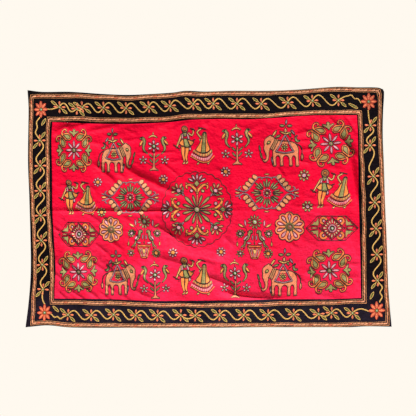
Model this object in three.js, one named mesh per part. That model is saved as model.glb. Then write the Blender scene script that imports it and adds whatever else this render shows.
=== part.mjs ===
// An embroidered wall hanging: a red ground panel framed by four mitred black border strips,
// hanging in shallow folds from its top edge.
// Millimetres, +Z up. The origin is the middle of the top edge, and the front faces -Y.
import * as THREE from "three";

// Cloth
const CLOTH_THICKNESS = 1.5;
const HEM_EXTRA = 0.8; // the turned-under outer edge adds this much at the back
const SEAM_GAP = 0.3; // between pieces sewn edge to edge

// Couched braid rows on the border strips, as shares of the strip's width from its outer edge
const BRAID_HEIGHT = 1.2;
const BRAID_SLOPE = 0.02;
const HEM_SHARE = 0.05;
const OUTER_BRAID = { from: 0.04, to: 0.18 };
const INNER_BRAID = { from: 0.76, to: 0.94 };

// Grid lines on the ground panel, closest together where the folds are and at the storage crease
const COLUMN_BANDS = [
  { from: 0, to: 0.19, columns: 9 },
  { from: 0.19, to: 0.74, columns: 36 },
  { from: 0.74, to: 1, columns: 11 },
];
const ROW_BANDS = [
  { from: 0, to: 0.484, rows: 16 },
  { from: 0.484, to: 0.516, rows: 2 },
  { from: 0.516, to: 1, rows: 16 },
];
const PATH_STEPS = 16; // straight pieces along a fold's curve
const SLOPE_STEP = 1; // distance over which the cloth's slope is taken

// The hanging outline. The top edge sags between the places where it is held, and the sides draw in.
// at: share along the edge, from left to right or from top to bottom. x, z: where the edge lies there.
const OUTER_EDGE = {
  top: [
    { at: 0.0, z: 5 },
    { at: 0.04, z: -2 },
    { at: 0.12, z: -2 },
    { at: 0.21, z: -11 },
    { at: 0.28, z: -15 },
    { at: 0.35, z: -11 },
    { at: 0.41, z: -5 },
    { at: 0.445, z: 2 },
    { at: 0.5, z: -1 },
    { at: 0.57, z: 2 },
    { at: 0.68, z: 2 },
    { at: 0.76, z: 7 },
    { at: 0.87, z: 19 },
    { at: 0.93, z: 17 },
    { at: 0.985, z: 16 },
    { at: 1.0, z: 9 },
  ],
  bottom: [
    { at: 0.0, z: -1001 },
    { at: 0.06, z: -993 },
    { at: 0.12, z: -1001 },
    { at: 0.3, z: -1003 },
    { at: 0.5, z: -1002 },
    { at: 0.88, z: -1000 },
    { at: 0.93, z: -996 },
    { at: 1.0, z: -998 },
  ],
  left: [
    { at: 0.0, x: -759 },
    { at: 0.08, x: -754 },
    { at: 0.3, x: -755 },
    { at: 0.45, x: -750 },
    { at: 0.7, x: -746 },
    { at: 0.8, x: -748 },
    { at: 0.9, x: -756 },
    { at: 1.0, x: -768 },
  ],
  right: [
    { at: 0.0, x: 748 },
    { at: 0.012, x: 753 },
    { at: 0.09, x: 750 },
    { at: 0.2, x: 749 },
    { at: 0.32, x: 753 },
    { at: 0.5, x: 757 },
    { at: 0.65, x: 763 },
    { at: 0.8, x: 768 },
    { at: 0.88, x: 773 },
    { at: 1.0, x: 785 },
  ],
};

// The seam where the border strips meet the ground panel, in the same columns
const SEAM = {
  top: [
    { at: 0.0, z: -132 },
    { at: 0.15, z: -137 },
    { at: 0.27, z: -138 },
    { at: 0.39, z: -130 },
    { at: 0.45, z: -122 },
    { at: 0.55, z: -118 },
    { at: 0.64, z: -119 },
    { at: 0.72, z: -115 },
    { at: 0.8, z: -107 },
    { at: 0.86, z: -103 },
    { at: 1.0, z: -102 },
  ],
  bottom: [
    { at: 0.0, z: -879 },
    { at: 0.17, z: -881 },
    { at: 0.33, z: -889 },
    { at: 0.45, z: -888 },
    { at: 0.57, z: -886 },
    { at: 0.64, z: -887 },
    { at: 0.72, z: -883 },
    { at: 0.89, z: -882 },
    { at: 1.0, z: -876 },
  ],
  left: [
    { at: 0.0, x: -653 },
    { at: 0.1, x: -657 },
    { at: 0.3, x: -654 },
    { at: 0.5, x: -653 },
    { at: 0.7, x: -645 },
    { at: 0.83, x: -640 },
    { at: 0.93, x: -644 },
    { at: 1.0, x: -645 },
  ],
  right: [
    { at: 0.0, x: 638 },
    { at: 0.1, x: 641 },
    { at: 0.25, x: 643 },
    { at: 0.4, x: 645 },
    { at: 0.65, x: 649 },
    { at: 0.8, x: 652 },
    { at: 1.0, x: 654 },
  ],
};

// The main folds, each along a curve from, by and to, as [x, z].
// lift: height towards the front, less than zero in a trough. upper, lower: half widths above and below.
const FOLDS = {
  long_diagonal: { from: [-388, -296], by: [-242, -388], to: [-80, -445], lift: -16, upper: 24, lower: 36 },
  storage_crease: { from: [-655, -506], by: [-405, -508], to: [-87, -506], lift: -7, upper: 12, lower: 11 },
  low_diagonal: { from: [-375, -512], by: [-176, -601], to: [66, -669], lift: -14, upper: 24, lower: 36 },
  low_ridge: { from: [-282, -656], by: [-70, -707], to: [184, -749], lift: 9, upper: 26, lower: 40 },
  hem_trough: { from: [-30, -772], by: [56, -799], to: [155, -850], lift: -13, upper: 22, lower: 26 },
  hem_pocket: { from: [6, -832], by: [112, -897], to: [303, -883], lift: -12, upper: 22, lower: 22 },
  long_swag: { from: [-630, -194], by: [-367, -219], to: [-87, -105], lift: -10, upper: 24, lower: 30 },
  corner_swag: { from: [-664, -177], by: [-558, -130], to: [-346, -126], lift: -8, upper: 22, lower: 24 },
  left_diagonal: { from: [-505, -290], by: [-437, -341], to: [-358, -408], lift: -9, upper: 20, lower: 26 },
  low_left_ridge: { from: [-651, -622], by: [-562, -741], to: [-435, -859], lift: 8, upper: 26, lower: 26 },
  low_left_trough: { from: [-579, -554], by: [-452, -724], to: [-282, -868], lift: -8, upper: 24, lower: 26 },
  low_mid_ridge: { from: [-333, -749], by: [-197, -817], to: [-6, -885], lift: 8, upper: 26, lower: 28 },
  right_edge: { from: [572, -220], by: [611, -350], to: [640, -486], lift: -12, upper: 22, lower: 26 },
  right_pinch: { from: [575, -508], by: [608, -549], to: [651, -620], lift: -9, upper: 22, lower: 24 },
  upright_crease: { from: [108, -312], by: [112, -482], to: [104, -694], lift: 4, upper: 20, lower: 20 },
  upper_right: { from: [125, -249], by: [210, -156], to: [337, -113], lift: 6, upper: 24, lower: 26 },
};

// Slow waves over the whole cloth: lift, and how far one wave runs along X and Z
const BILLOWS = [
  { lift: 6, waveX: 1180, waveZ: 1620, phase: 0.4 },
  { lift: 4, waveX: 610, waveZ: -1050, phase: 1.7 },
  { lift: 2.5, waveX: 290, waveZ: 700, phase: 2.6 },
];
const HELD_DEPTH = 150; // over this depth below the top edge the waves and folds grow from nothing

const FINISH = {
  ground: { color: 0xe31f3e, roughness: 0.72, metalness: 0 },
  border: { color: 0x1c191d, roughness: 0.85, metalness: 0 },
};

const lerp = THREE.MathUtils.lerp;

// A smooth curve through a table's rows, read at a share along the edge
function along(table, column, at) {
  let i = 0;
  while (i < table.length - 2 && at > table[i + 1].at) i += 1;
  const slope = (k) => {
    const a = table[Math.max(k - 1, 0)];
    const b = table[Math.min(k + 1, table.length - 1)];
    return (b[column] - a[column]) / (b.at - a.at);
  };
  const span = table[i + 1].at - table[i].at;
  const t = (at - table[i].at) / span;
  const rise = 3 * t * t - 2 * t * t * t;
  const leave = (t - 2 * t * t + t * t * t) * span * slope(i);
  const arrive = (t * t * t - t * t) * span * slope(i + 1);
  return lerp(table[i][column], table[i + 1][column], rise) + leave + arrive;
}

// Where a point lies inside a hanging outline, u across from the left and v down from the top
function inside(outline, u, v) {
  const x = lerp(along(outline.left, "x", v), along(outline.right, "x", v), u);
  const z = lerp(along(outline.top, "z", u), along(outline.bottom, "z", u), v);
  return { x, z };
}

// Each fold with the points of its curve
const foldPaths = Object.values(FOLDS).map((fold) => {
  const [from, by, to] = [fold.from, fold.by, fold.to].map(([x, z]) => new THREE.Vector2(x, z));
  return { ...fold, path: new THREE.QuadraticBezierCurve(from, by, to).getPoints(PATH_STEPS) };
});

// One fold's height at a point: a soft ridge or trough along its curve that fades at both ends
function foldHeight(fold, x, z) {
  let nearest = { distance: Infinity, share: 0, side: 0 };
  for (let i = 0; i < PATH_STEPS; i += 1) {
    const a = fold.path[i];
    const stepX = fold.path[i + 1].x - a.x;
    const stepZ = fold.path[i + 1].y - a.y;
    const reach = ((x - a.x) * stepX + (z - a.y) * stepZ) / (stepX * stepX + stepZ * stepZ);
    const t = THREE.MathUtils.clamp(reach, 0, 1);
    const distance = Math.hypot(x - a.x - t * stepX, z - a.y - t * stepZ);
    const side = stepX * (z - a.y) - stepZ * (x - a.x);
    if (distance < nearest.distance) nearest = { distance, share: (i + t) / PATH_STEPS, side };
  }
  const width = nearest.side > 0 ? fold.upper : fold.lower;
  const fade = Math.sqrt(Math.max(Math.sin(Math.PI * nearest.share), 0));
  return fold.lift * fade * Math.exp(-((nearest.distance / width) ** 2));
}

// The cloth's height towards the front
function clothHeight(x, z) {
  const waves = BILLOWS.map(
    (b) => b.lift * Math.sin(2 * Math.PI * (x / b.waveX + z / b.waveZ) + b.phase),
  );
  const folds = foldPaths.map((fold) => foldHeight(fold, x, z));
  const sum = [...waves, ...folds].reduce((a, b) => a + b, 0);
  return sum * THREE.MathUtils.smoothstep(-z, 0, HELD_DEPTH);
}

// A point of the cloth, moved off its middle surface along the cloth's own normal
function clothPoint({ x, z }, off) {
  const slopeX = (clothHeight(x + SLOPE_STEP, z) - clothHeight(x - SLOPE_STEP, z)) / (2 * SLOPE_STEP);
  const slopeZ = (clothHeight(x, z + SLOPE_STEP) - clothHeight(x, z - SLOPE_STEP)) / (2 * SLOPE_STEP);
  const normal = new THREE.Vector3(-slopeX, -1, -slopeZ).normalize();
  return new THREE.Vector3(x, -clothHeight(x, z), z).addScaledVector(normal, off);
}

// A closed sheet over a grid: place(i, j) gives the flat place, front and back the offsets there
function sheet(columns, rows, place, front, back) {
  const points = [];
  const triangles = [];
  const across = columns + 1;
  const face = across * (rows + 1);
  for (const [sign, offset] of [
    [1, front],
    [-1, back],
  ]) {
    for (let j = 0; j <= rows; j += 1) {
      for (let i = 0; i <= columns; i += 1) {
        points.push(clothPoint(place(i, j), sign * offset(j)));
      }
    }
  }
  const quad = (a, b, c, d) => triangles.push(a, b, c, a, c, d);
  for (let j = 0; j < rows; j += 1) {
    for (let i = 0; i < columns; i += 1) {
      const a = j * across + i;
      quad(a, a + across, a + across + 1, a + 1);
      quad(face + a, face + a + 1, face + a + across + 1, face + a + across);
    }
  }
  const rim = [];
  for (let i = 0; i < columns; i += 1) rim.push(i);
  for (let j = 0; j < rows; j += 1) rim.push(j * across + columns);
  for (let i = columns; i > 0; i -= 1) rim.push(rows * across + i);
  for (let j = rows; j > 0; j -= 1) rim.push(j * across);
  rim.forEach((a, k) => {
    const b = rim[(k + 1) % rim.length];
    quad(a, b, face + b, face + a);
  });
  const geometry = new THREE.BufferGeometry();
  geometry.setAttribute("position", new THREE.Float32BufferAttribute(points.flatMap((p) => p.toArray()), 3));
  geometry.setIndex(triangles);
  geometry.computeVertexNormals();
  return geometry;
}

function piece(name, geometry, finish) {
  const mesh = new THREE.Mesh(geometry, new THREE.MeshStandardMaterial(finish));
  mesh.name = name;
  return mesh;
}

// The grid lines' shares, from a table of bands
function gridShares(bands, column) {
  const lines = bands.flatMap((band) =>
    Array.from({ length: band[column] }, (_, i) => lerp(band.from, band.to, i / band[column])),
  );
  return [...lines, bands.at(-1).to];
}
const columnShares = gridShares(COLUMN_BANDS, "columns");
const rowShares = gridShares(ROW_BANDS, "rows");

// The share a little in from each end, so that half the seam gap stays open there
function trimmed(share, length, gap) {
  return lerp(gap / length, 1 - gap / length, share);
}

// Ground panel: one cut of red cloth, sewn into the frame of strips
function groundPanel() {
  const width = SEAM.right[0].x - SEAM.left[0].x;
  const height = SEAM.top[0].z - SEAM.bottom[0].z;
  const place = (i, j) =>
    inside(SEAM, trimmed(columnShares[i], width, SEAM_GAP / 2), trimmed(rowShares[j], height, SEAM_GAP / 2));
  const half = () => CLOTH_THICKNESS / 2;
  const geometry = sheet(columnShares.length - 1, rowShares.length - 1, place, half, half);
  return piece("ground_panel", geometry, FINISH.ground);
}

// Rows across a border strip: hem, outer braid, plain vine band, inner braid and seam edge
const STRIP_ROWS = [
  0,
  HEM_SHARE,
  OUTER_BRAID.from + BRAID_SLOPE,
  OUTER_BRAID.to - BRAID_SLOPE,
  OUTER_BRAID.to,
  (OUTER_BRAID.to + INNER_BRAID.from) / 2,
  INNER_BRAID.from,
  INNER_BRAID.from + BRAID_SLOPE,
  INNER_BRAID.to - BRAID_SLOPE,
  INNER_BRAID.to,
  1,
];

function stripFront(share) {
  const onBraid = [OUTER_BRAID, INNER_BRAID].some(
    (braid) => share > braid.from + BRAID_SLOPE / 2 && share < braid.to - BRAID_SLOPE / 2,
  );
  return CLOTH_THICKNESS / 2 + (onBraid ? BRAID_HEIGHT : 0);
}

function stripBack(share) {
  return CLOTH_THICKNESS / 2 + (share <= HEM_SHARE ? HEM_EXTRA : 0);
}

// One border strip, mitred at both ends. edge(outline, share) walks its side of an outline, and
// the rows run inwards, turned over where needed so that the front stays on the front.
function borderStrip(name, shares, length, edge, inwardFirst) {
  const rows = inwardFirst ? STRIP_ROWS : [...STRIP_ROWS].reverse();
  const mitreGap = SEAM_GAP * Math.SQRT1_2;
  const place = (i, j) => {
    const share = trimmed(shares[i], length, mitreGap);
    const outer = edge(OUTER_EDGE, share);
    const seam = edge(SEAM, share);
    const width = Math.hypot(outer.x - seam.x, outer.z - seam.z);
    const inward = Math.min(rows[j], 1 - SEAM_GAP / 2 / width);
    return { x: lerp(outer.x, seam.x, inward), z: lerp(outer.z, seam.z, inward) };
  };
  const geometry = sheet(
    shares.length - 1,
    rows.length - 1,
    place,
    (j) => stripFront(rows[j]),
    (j) => stripBack(rows[j]),
  );
  return piece(name, geometry, FINISH.border);
}

function borderStrips() {
  const width = OUTER_EDGE.right[0].x - OUTER_EDGE.left[0].x;
  const height = OUTER_EDGE.top[0].z - OUTER_EDGE.bottom[0].z;
  const frame = new THREE.Group();
  frame.add(
    borderStrip("border_top", columnShares, width, (outline, share) => inside(outline, share, 0), true),
    borderStrip("border_bottom", columnShares, width, (outline, share) => inside(outline, share, 1), false),
    borderStrip("border_left", rowShares, height, (outline, share) => inside(outline, 0, share), false),
    borderStrip("border_right", rowShares, height, (outline, share) => inside(outline, 1, share), true),
  );
  return frame;
}

const tapestry = new THREE.Group();
tapestry.add(groundPanel(), borderStrips());

export default tapestry;
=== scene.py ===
"""An embroidered wall hanging: red cotton in a black border, worked all over in coloured thread.

Patterns are laid out in millimetres on the hanging's own plane, x to the right and z up from the middle of
the top edge, and are lifted onto the draped cloth. The mesh is in metres, and the front faces -Y.
"""
import math

import bpy
import numpy as np
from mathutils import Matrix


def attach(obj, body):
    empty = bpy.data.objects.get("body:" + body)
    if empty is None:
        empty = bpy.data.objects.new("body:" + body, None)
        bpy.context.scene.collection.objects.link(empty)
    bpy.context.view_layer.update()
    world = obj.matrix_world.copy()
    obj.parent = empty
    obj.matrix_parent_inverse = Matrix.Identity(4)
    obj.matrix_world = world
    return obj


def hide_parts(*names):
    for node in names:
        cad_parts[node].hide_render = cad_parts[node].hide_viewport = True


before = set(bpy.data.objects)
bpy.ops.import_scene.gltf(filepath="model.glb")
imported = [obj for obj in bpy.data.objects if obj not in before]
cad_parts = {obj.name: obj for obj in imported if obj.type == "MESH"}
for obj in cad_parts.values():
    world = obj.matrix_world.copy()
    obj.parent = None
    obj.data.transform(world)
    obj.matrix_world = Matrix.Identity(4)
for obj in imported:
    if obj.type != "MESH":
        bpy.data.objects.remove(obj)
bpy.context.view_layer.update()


# Ground panel
# One cut of thin red cotton, sewn into the border along all four sides. It hangs from the top edge of
# the border and keeps the creases of its storage, so it lies in shallow slanting folds.
MM = 0.001
CLOTH = 1.0  # thickness
GROUND_WIDTH, GROUND_HEIGHT = 1298, 756  # flat
GROUND_CELL = 4.6
GRID = 2.5  # spacing of the relief map
HELD_DEPTH = 150  # folds grow from nothing over this depth below the top edge
SEAM_DIP, SEAM_DIP_WIDTH = 0.35, 3.0
SEAM_STEPS = (-0.06, 1.5, 4.0)  # rows of the mesh next to a seam, the first a hair past it

# The hanging outline and the seam, the same as the solids': share along the edge, and x or z there
OUTER = {
    "top": [(0, 5), (0.04, -2), (0.12, -2), (0.21, -11), (0.28, -15), (0.35, -11), (0.41, -5), (0.445, 2),
            (0.5, -1), (0.57, 2), (0.68, 2), (0.76, 7), (0.87, 19), (0.93, 17), (0.985, 16), (1, 9)],
    "bottom": [(0, -1001), (0.06, -993), (0.12, -1001), (0.3, -1003), (0.5, -1002), (0.88, -1000),
               (0.93, -996), (1, -998)],
    "left": [(0, -759), (0.08, -754), (0.3, -755), (0.45, -750), (0.7, -746), (0.8, -748), (0.9, -756),
             (1, -768)],
    "right": [(0, 748), (0.012, 753), (0.09, 750), (0.2, 749), (0.32, 753), (0.5, 757), (0.65, 763),
              (0.8, 768), (0.88, 773), (1, 785)],
}
SEAM = {
    "top": [(0, -132), (0.15, -137), (0.27, -138), (0.39, -130), (0.45, -122), (0.55, -118), (0.64, -119),
            (0.72, -115), (0.8, -107), (0.86, -103), (1, -102)],
    "bottom": [(0, -879), (0.17, -881), (0.33, -889), (0.45, -888), (0.57, -886), (0.64, -887),
               (0.72, -883), (0.89, -882), (1, -876)],
    "left": [(0, -653), (0.1, -657), (0.3, -654), (0.5, -653), (0.7, -645), (0.83, -640), (0.93, -644),
             (1, -645)],
    "right": [(0, 638), (0.1, 641), (0.25, 643), (0.4, 645), (0.65, 649), (0.8, 652), (1, 654)],
}

# Folds along a curve from, by and to: lift towards the front, half width above and below.
# Most are the solids' main folds, with the narrower widths of the cloth itself.
FOLDS = [
    ((-405, -293), (-242, -390), (-76, -455), -13, 17, 32),
    ((-655, -506), (-405, -508), (-87, -506), -9, 8, 8),
    ((-375, -512), (-180, -603), (66, -669), -9, 22, 36),
    ((-282, -656), (-74, -703), (184, -749), 9, 24, 40),
    ((-19, -781), (53, -799), (142, -847), -13, 13, 22),
    ((30, -836), (150, -890), (372, -873), -19, 14, 15),
    ((-630, -194), (-367, -221), (-87, -105), -5, 20, 30),
    ((-664, -177), (-560, -130), (-346, -126), -4, 17, 24),
    ((-494, -293), (-437, -341), (-371, -402), -9, 10, 24),
    ((-651, -622), (-564, -741), (-435, -859), 5, 22, 24),
    ((-500, -670), (-410, -770), (-282, -868), -5, 20, 26),
    ((-333, -749), (-199, -817), (-6, -885), 5, 22, 28),
    ((592, -220), (624, -350), (645, -530), -10, 13, 22),
    ((604, -214), (634, -345), (655, -525), -10, 13, 22),
    ((575, -510), (608, -549), (651, -618), -3, 11, 16),
    ((108, -312), (114, -461), (104, -694), 2.5, 14, 14),
    ((125, -249), (206, -147), (337, -113), 5, 18, 24),
]
# Smaller creases in the same way, which the solids leave out
CREASES = [
    ((-655, -196), (-623, -152), (-566, -139), -9, 12, 14),
    ((-705, -506), (-620, -507), (-520, -507), -5, 8, 8),
    ((-300, -378), (-190, -436), (-50, -474), 5, 18, 24),
    ((-604, -179), (-566, -150), (-494, -134), -9, 12, 14),
    ((-528, -175), (-445, -160), (-354, -137), -9, 12, 14),
    ((-524, -212), (-477, -216), (-430, -225), -6, 11, 12),
    ((-367, -213), (-324, -206), (-265, -198), -5.5, 12, 14),
    ((-659, -232), (-630, -211), (-600, -198), -4, 8, 10),
    ((-358, -151), (-322, -173), (-278, -194), -3, 4.5, 5),
    ((-307, -261), (-216, -260), (-100, -257), -5.5, 5, 5),
    ((-163, -308), (-131, -297), (-91, -285), -4.5, 8, 11),
    ((-199, -300), (-151, -327), (-106, -372), -4.8, 4.5, 5),
    ((-647, -408), (-619, -408), (-583, -395), -3.5, 9, 10),
    ((-388, -340), (-365, -352), (-333, -376), -4, 6, 10),
    ((-367, -506), (-244, -508), (-104, -506), -6, 9, 8),
    ((-519, -510), (-483, -534), (-439, -571), -4.5, 8, 13),
    ((-371, -522), (-335, -545), (-290, -575), -4.5, 8, 13),
    ((-214, -569), (-178, -587), (-134, -614), -5.5, 6.5, 9),
    ((-176, -575), (-134, -640), (-40, -667), -11, 15, 28),
    ((-240, -692), (-148, -728), (-49, -739), -6, 10, 15),
    ((-45, -705), (-4, -726), (45, -743), -5, 10, 13),
    ((-498, -711), (-462, -741), (-418, -770), -6, 6.5, 10),
    ((-634, -840), (-608, -871), (-583, -889), -4.5, 5, 8),
    ((-591, -828), (-551, -865), (-502, -889), -6, 6, 9),
    ((-524, -821), (-488, -859), (-443, -889), -6, 6, 9),
    ((-464, -840), (-432, -871), (-392, -889), -4.5, 5, 8),
    ((-324, -832), (-278, -862), (-214, -883), -6, 6, 10),
    ((-443, -806), (-411, -834), (-371, -862), -4, 5, 8),
    ((-384, -849), (-352, -875), (-312, -889), -4, 5, 8),
    ((-647, -717), (-615, -743), (-575, -773), -4.5, 5, 8),
    ((-659, -756), (-628, -789), (-587, -815), -4.5, 5, 8),
    ((-477, -641), (-447, -669), (-401, -696), -3.5, 5, 7),
    ((-418, -628), (-379, -658), (-341, -679), -4, 5, 7),
    ((-341, -586), (-310, -609), (-269, -633), -4.5, 5, 8),
    ((-282, -766), (-244, -789), (-189, -804), -4, 5, 8), ((66, -611), (93, -636), (129, -664), -4, 7, 9),
    ((371, -187), (407, -174), (452, -168), -6.5, 10, 12),
    ((388, -250), (420, -248), (460, -240), -5, 7, 8),
    ((379, -215), (420, -211), (469, -206), -3.2, 5, 6),
    ((379, -291), (411, -299), (452, -310), -4, 8, 9),
    ((299, -317), (314, -340), (337, -372), -3.6, 4.5, 5),
    ((337, -360), (371, -354), (405, -343), -3, 6, 8),
    ((553, -179), (608, -229), (647, -300), -8, 12, 13), ((583, -98), (611, -129), (647, -198), 5, 8, 9),
    ((498, -94), (526, -113), (562, -156), -4.5, 8, 9),
    ((553, -736), (604, -737), (655, -733), -6, 9, 10), ((587, -788), (621, -792), (655, -787), -5, 8, 8),
    ((413, -751), (447, -781), (481, -802), -4, 7, 9),
    ((371, -773), (394, -795), (426, -821), -3.5, 7, 9),
    ((337, -490), (488, -489), (647, -487), -3.2, 5.5, 6),
    ((-11, -505), (91, -506), (193, -505), -2.4, 5, 5),
    ((-15, -149), (11, -127), (53, -105), -4.5, 10, 13),
    ((146, -177), (204, -155), (269, -141), -4, 10, 12),
    ((-163, -179), (-112, -141), (-61, -120), -4.5, 11, 15),
    ((-206, -158), (-174, -137), (-117, -115), -3.5, 9, 12),
    ((473, -444), (515, -469), (591, -469), -3, 8, 9), ((235, -826), (286, -851), (354, -859), -3, 8, 11),
    ((439, -851), (494, -877), (583, -874), -3.5, 9, 11),
]
# Loose rumples over parts of the cloth: x and z from and to, slope in degrees, lift, half width, length
# and how many
RUMPLES = [
    (-655, -150, -880, -520, -38, 1.9, 5.2, 95, 84), (-655, -350, -480, -160, -30, 1.8, 8, 90, 26),
    (-150, 640, -880, -520, -30, 1.5, 9, 90, 60), (-350, 640, -480, -120, -14, 1.4, 8, 80, 52),
    (400, 640, -700, -150, -78, 1.6, 9, 85, 18),
]
RUMPLE_SEED = 11
RUMPLE_TURN, RUMPLE_BEND = 13, 6  # how much their slopes and their middles vary
# Wide waves of the whole cloth: lift, length in x and in z, and phase
BILLOWS = [(6, 1180, 1620, 0.4), (4, 610, -1050, 1.7), (2.5, 290, 700, 2.6)]
FOLD_SPANS = 16  # straight spans along a fold's curve
FOLD_REACH = 2.6  # half widths to which a fold is worked out
FOLD_FADE = 0.3  # share of its length over which it dies out at each end
FOLD_CREST = 1.4  # 2 makes a round crest, and less a sharper one


def along(table, at):
    """A smooth curve through a table's rows, read at a share along the edge."""
    knots, values = np.array(table, float).T
    j = np.arange(len(knots))
    low, high = np.maximum(j - 1, 0), np.minimum(j + 1, len(knots) - 1)
    slope = (values[high] - values[low]) / (knots[high] - knots[low])
    i = np.clip(np.searchsorted(knots, at) - 1, 0, len(knots) - 2)
    span = knots[i + 1] - knots[i]
    t = (at - knots[i]) / span
    rise = t * t * (3 - 2 * t)
    ends = values[i] * (1 - rise) + values[i + 1] * rise
    return ends + span * (t * (1 - t) ** 2 * slope[i] - t * t * (1 - t) * slope[i + 1])


def inside(outline, u, v):
    """x and z inside a hanging outline, u across from the left and v down from the top."""
    left, right = along(outline["left"], v), along(outline["right"], v)
    top, bottom = along(outline["top"], u), along(outline["bottom"], u)
    return left + (right - left) * u, top + (bottom - top) * v


map_x, map_z = np.arange(-800, 816, GRID), np.arange(-1036, 46, GRID)
relief = sum(
    lift * np.sin(2 * np.pi * (map_x[None] / wave_x + map_z[:, None] / wave_z) + phase)
    for lift, wave_x, wave_z, phase in BILLOWS
)


def press(start, by, end, lift, upper, lower):
    """Adds one soft ridge or trough to the relief, along its curve and fading at both ends."""
    t = np.linspace(0, 1, FOLD_SPANS + 1)[:, None]
    path = (1 - t) ** 2 * np.array(start) + 2 * t * (1 - t) * np.array(by) + t * t * np.array(end)
    reach = FOLD_REACH * max(upper, lower)
    low, high = path.min(0) - reach, path.max(0) + reach
    columns = slice(*np.searchsorted(map_x, [low[0], high[0]]))
    rows = slice(*np.searchsorted(map_z, [low[1], high[1]]))
    x, z = np.meshgrid(map_x[columns], map_z[rows])
    near, share, side = np.full(x.shape, np.inf), np.zeros(x.shape), np.zeros(x.shape)
    for i, (a, step) in enumerate(zip(path[:-1], np.diff(path, axis=0))):
        t = np.clip(((x - a[0]) * step[0] + (z - a[1]) * step[1]) / (step @ step), 0, 1)
        distance = np.hypot(x - a[0] - t * step[0], z - a[1] - t * step[1])
        closer = distance < near
        near[closer] = distance[closer]
        share[closer] = ((i + t) / FOLD_SPANS)[closer]
        side[closer] = (step[0] * (z - a[1]) - step[1] * (x - a[0]))[closer]
    width = np.where(side > 0, upper, lower)
    fade = np.clip(np.minimum(share, 1 - share) / FOLD_FADE, 0, 1)
    relief[rows, columns] += lift * fade * fade * (3 - 2 * fade) * np.exp(-((near / width) ** FOLD_CREST))


for fold in [*FOLDS, *CREASES]:
    press(*fold)
chance = np.random.default_rng(RUMPLE_SEED)
for x_from, x_to, z_from, z_to, slope, lift, width, length, count in RUMPLES:
    for _ in range(count):
        middle = np.array([chance.uniform(x_from, x_to), chance.uniform(z_from, z_to)])
        turn = math.radians(slope + chance.normal(0, RUMPLE_TURN))
        reach = 0.5 * length * chance.uniform(0.5, 1.4) * np.array([math.cos(turn), math.sin(turn)])
        bent = middle + chance.normal(0, RUMPLE_BEND, 2)
        amount = lift * chance.uniform(0.4, 1.4) * chance.choice([-1, -1, 1])
        press(middle - reach, bent, middle + reach, amount, width * chance.uniform(0.7, 1.1), width * 1.2)

held = np.clip(-map_z / HELD_DEPTH, 0, 1)[:, None]
relief *= held * held * (3 - 2 * held)

# Stitches span the sharpest creases, on the front and on the back
around = np.pad(relief, 1, mode="edge")
tall, wide = relief.shape
spanned = sum(around[j:j + tall, i:i + wide] for j in range(3) for i in range(3)) / 9
OVER = {1: np.maximum(relief, spanned), -1: np.minimum(relief, spanned)}


def height(x, z, relief=relief):
    """The height towards the front, read from a relief map."""
    i = np.clip((x - map_x[0]) / GRID, 0, len(map_x) - 1.001)
    j = np.clip((z - map_z[0]) / GRID, 0, len(map_z) - 1.001)
    column, row = i.astype(int), j.astype(int)
    i, j = i - column, j - row
    lower = relief[row, column] * (1 - i) + relief[row, column + 1] * i
    upper = relief[row + 1, column] * (1 - i) + relief[row + 1, column + 1] * i
    return lower * (1 - j) + upper * j


def in_scene(name, data):
    """A new object in the scene."""
    made = bpy.data.objects.new(name, data)
    bpy.context.scene.collection.objects.link(made)
    return made


def mesh_object(name, points, quads, triangles, places):
    """A smooth mesh from arrays in millimetres. places are the bake map's points, one for each corner."""
    mesh = bpy.data.meshes.new(name)
    corners = np.concatenate([quads.ravel(), triangles.ravel()])
    starts = np.concatenate([4 * np.arange(len(quads)), 4 * len(quads) + 3 * np.arange(len(triangles))])
    mesh.vertices.add(len(points))
    mesh.vertices.foreach_set("co", (points * MM).ravel())
    mesh.loops.add(len(corners))
    mesh.loops.foreach_set("vertex_index", corners)
    mesh.polygons.add(len(starts))
    mesh.polygons.foreach_set("loop_start", starts)
    mesh.update()
    mesh.shade_smooth()
    mesh.uv_layers.new(name="OFBake").data.foreach_set("uv", places.ravel())
    return in_scene(name, mesh)


def cloth_sheet(name, x, z, front, back):
    """A closed sheet of cloth over a grid of places, front and back at their distances from its middle.
    The front fills the upper half of the bake map, and the back the lower half."""
    rows, columns = x.shape
    count = rows * columns
    middle = height(x, z)
    points = np.concatenate([
        np.stack([x, -middle - front, z], -1).reshape(-1, 3),
        np.stack([x, -middle + back, z], -1).reshape(-1, 3),
    ])
    index = np.arange(count).reshape(rows, columns)
    a, b, c, d = index[:-1, :-1], index[1:, :-1], index[1:, 1:], index[:-1, 1:]
    faces = np.stack([a, b, c, d], -1).reshape(-1, 4)
    edge = np.concatenate([index[0, :-1], index[:-1, -1], index[-1, :0:-1], index[:0:-1, 0]])
    after = np.roll(edge, -1)
    rim = np.stack([edge, after, after + count, edge + count], -1)
    quads = np.concatenate([faces, faces[:, ::-1] + count, rim])
    u, v = np.meshgrid(np.linspace(0.01, 0.99, columns), np.linspace(0.99, 0.51, rows))
    place = np.stack([u, v], -1).reshape(-1, 2)
    places = np.concatenate([place[faces], place[faces[:, ::-1]] - [0, 0.5], place[rim % count]])
    return mesh_object(name, points, quads, np.zeros((0, 3), int), places)


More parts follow.
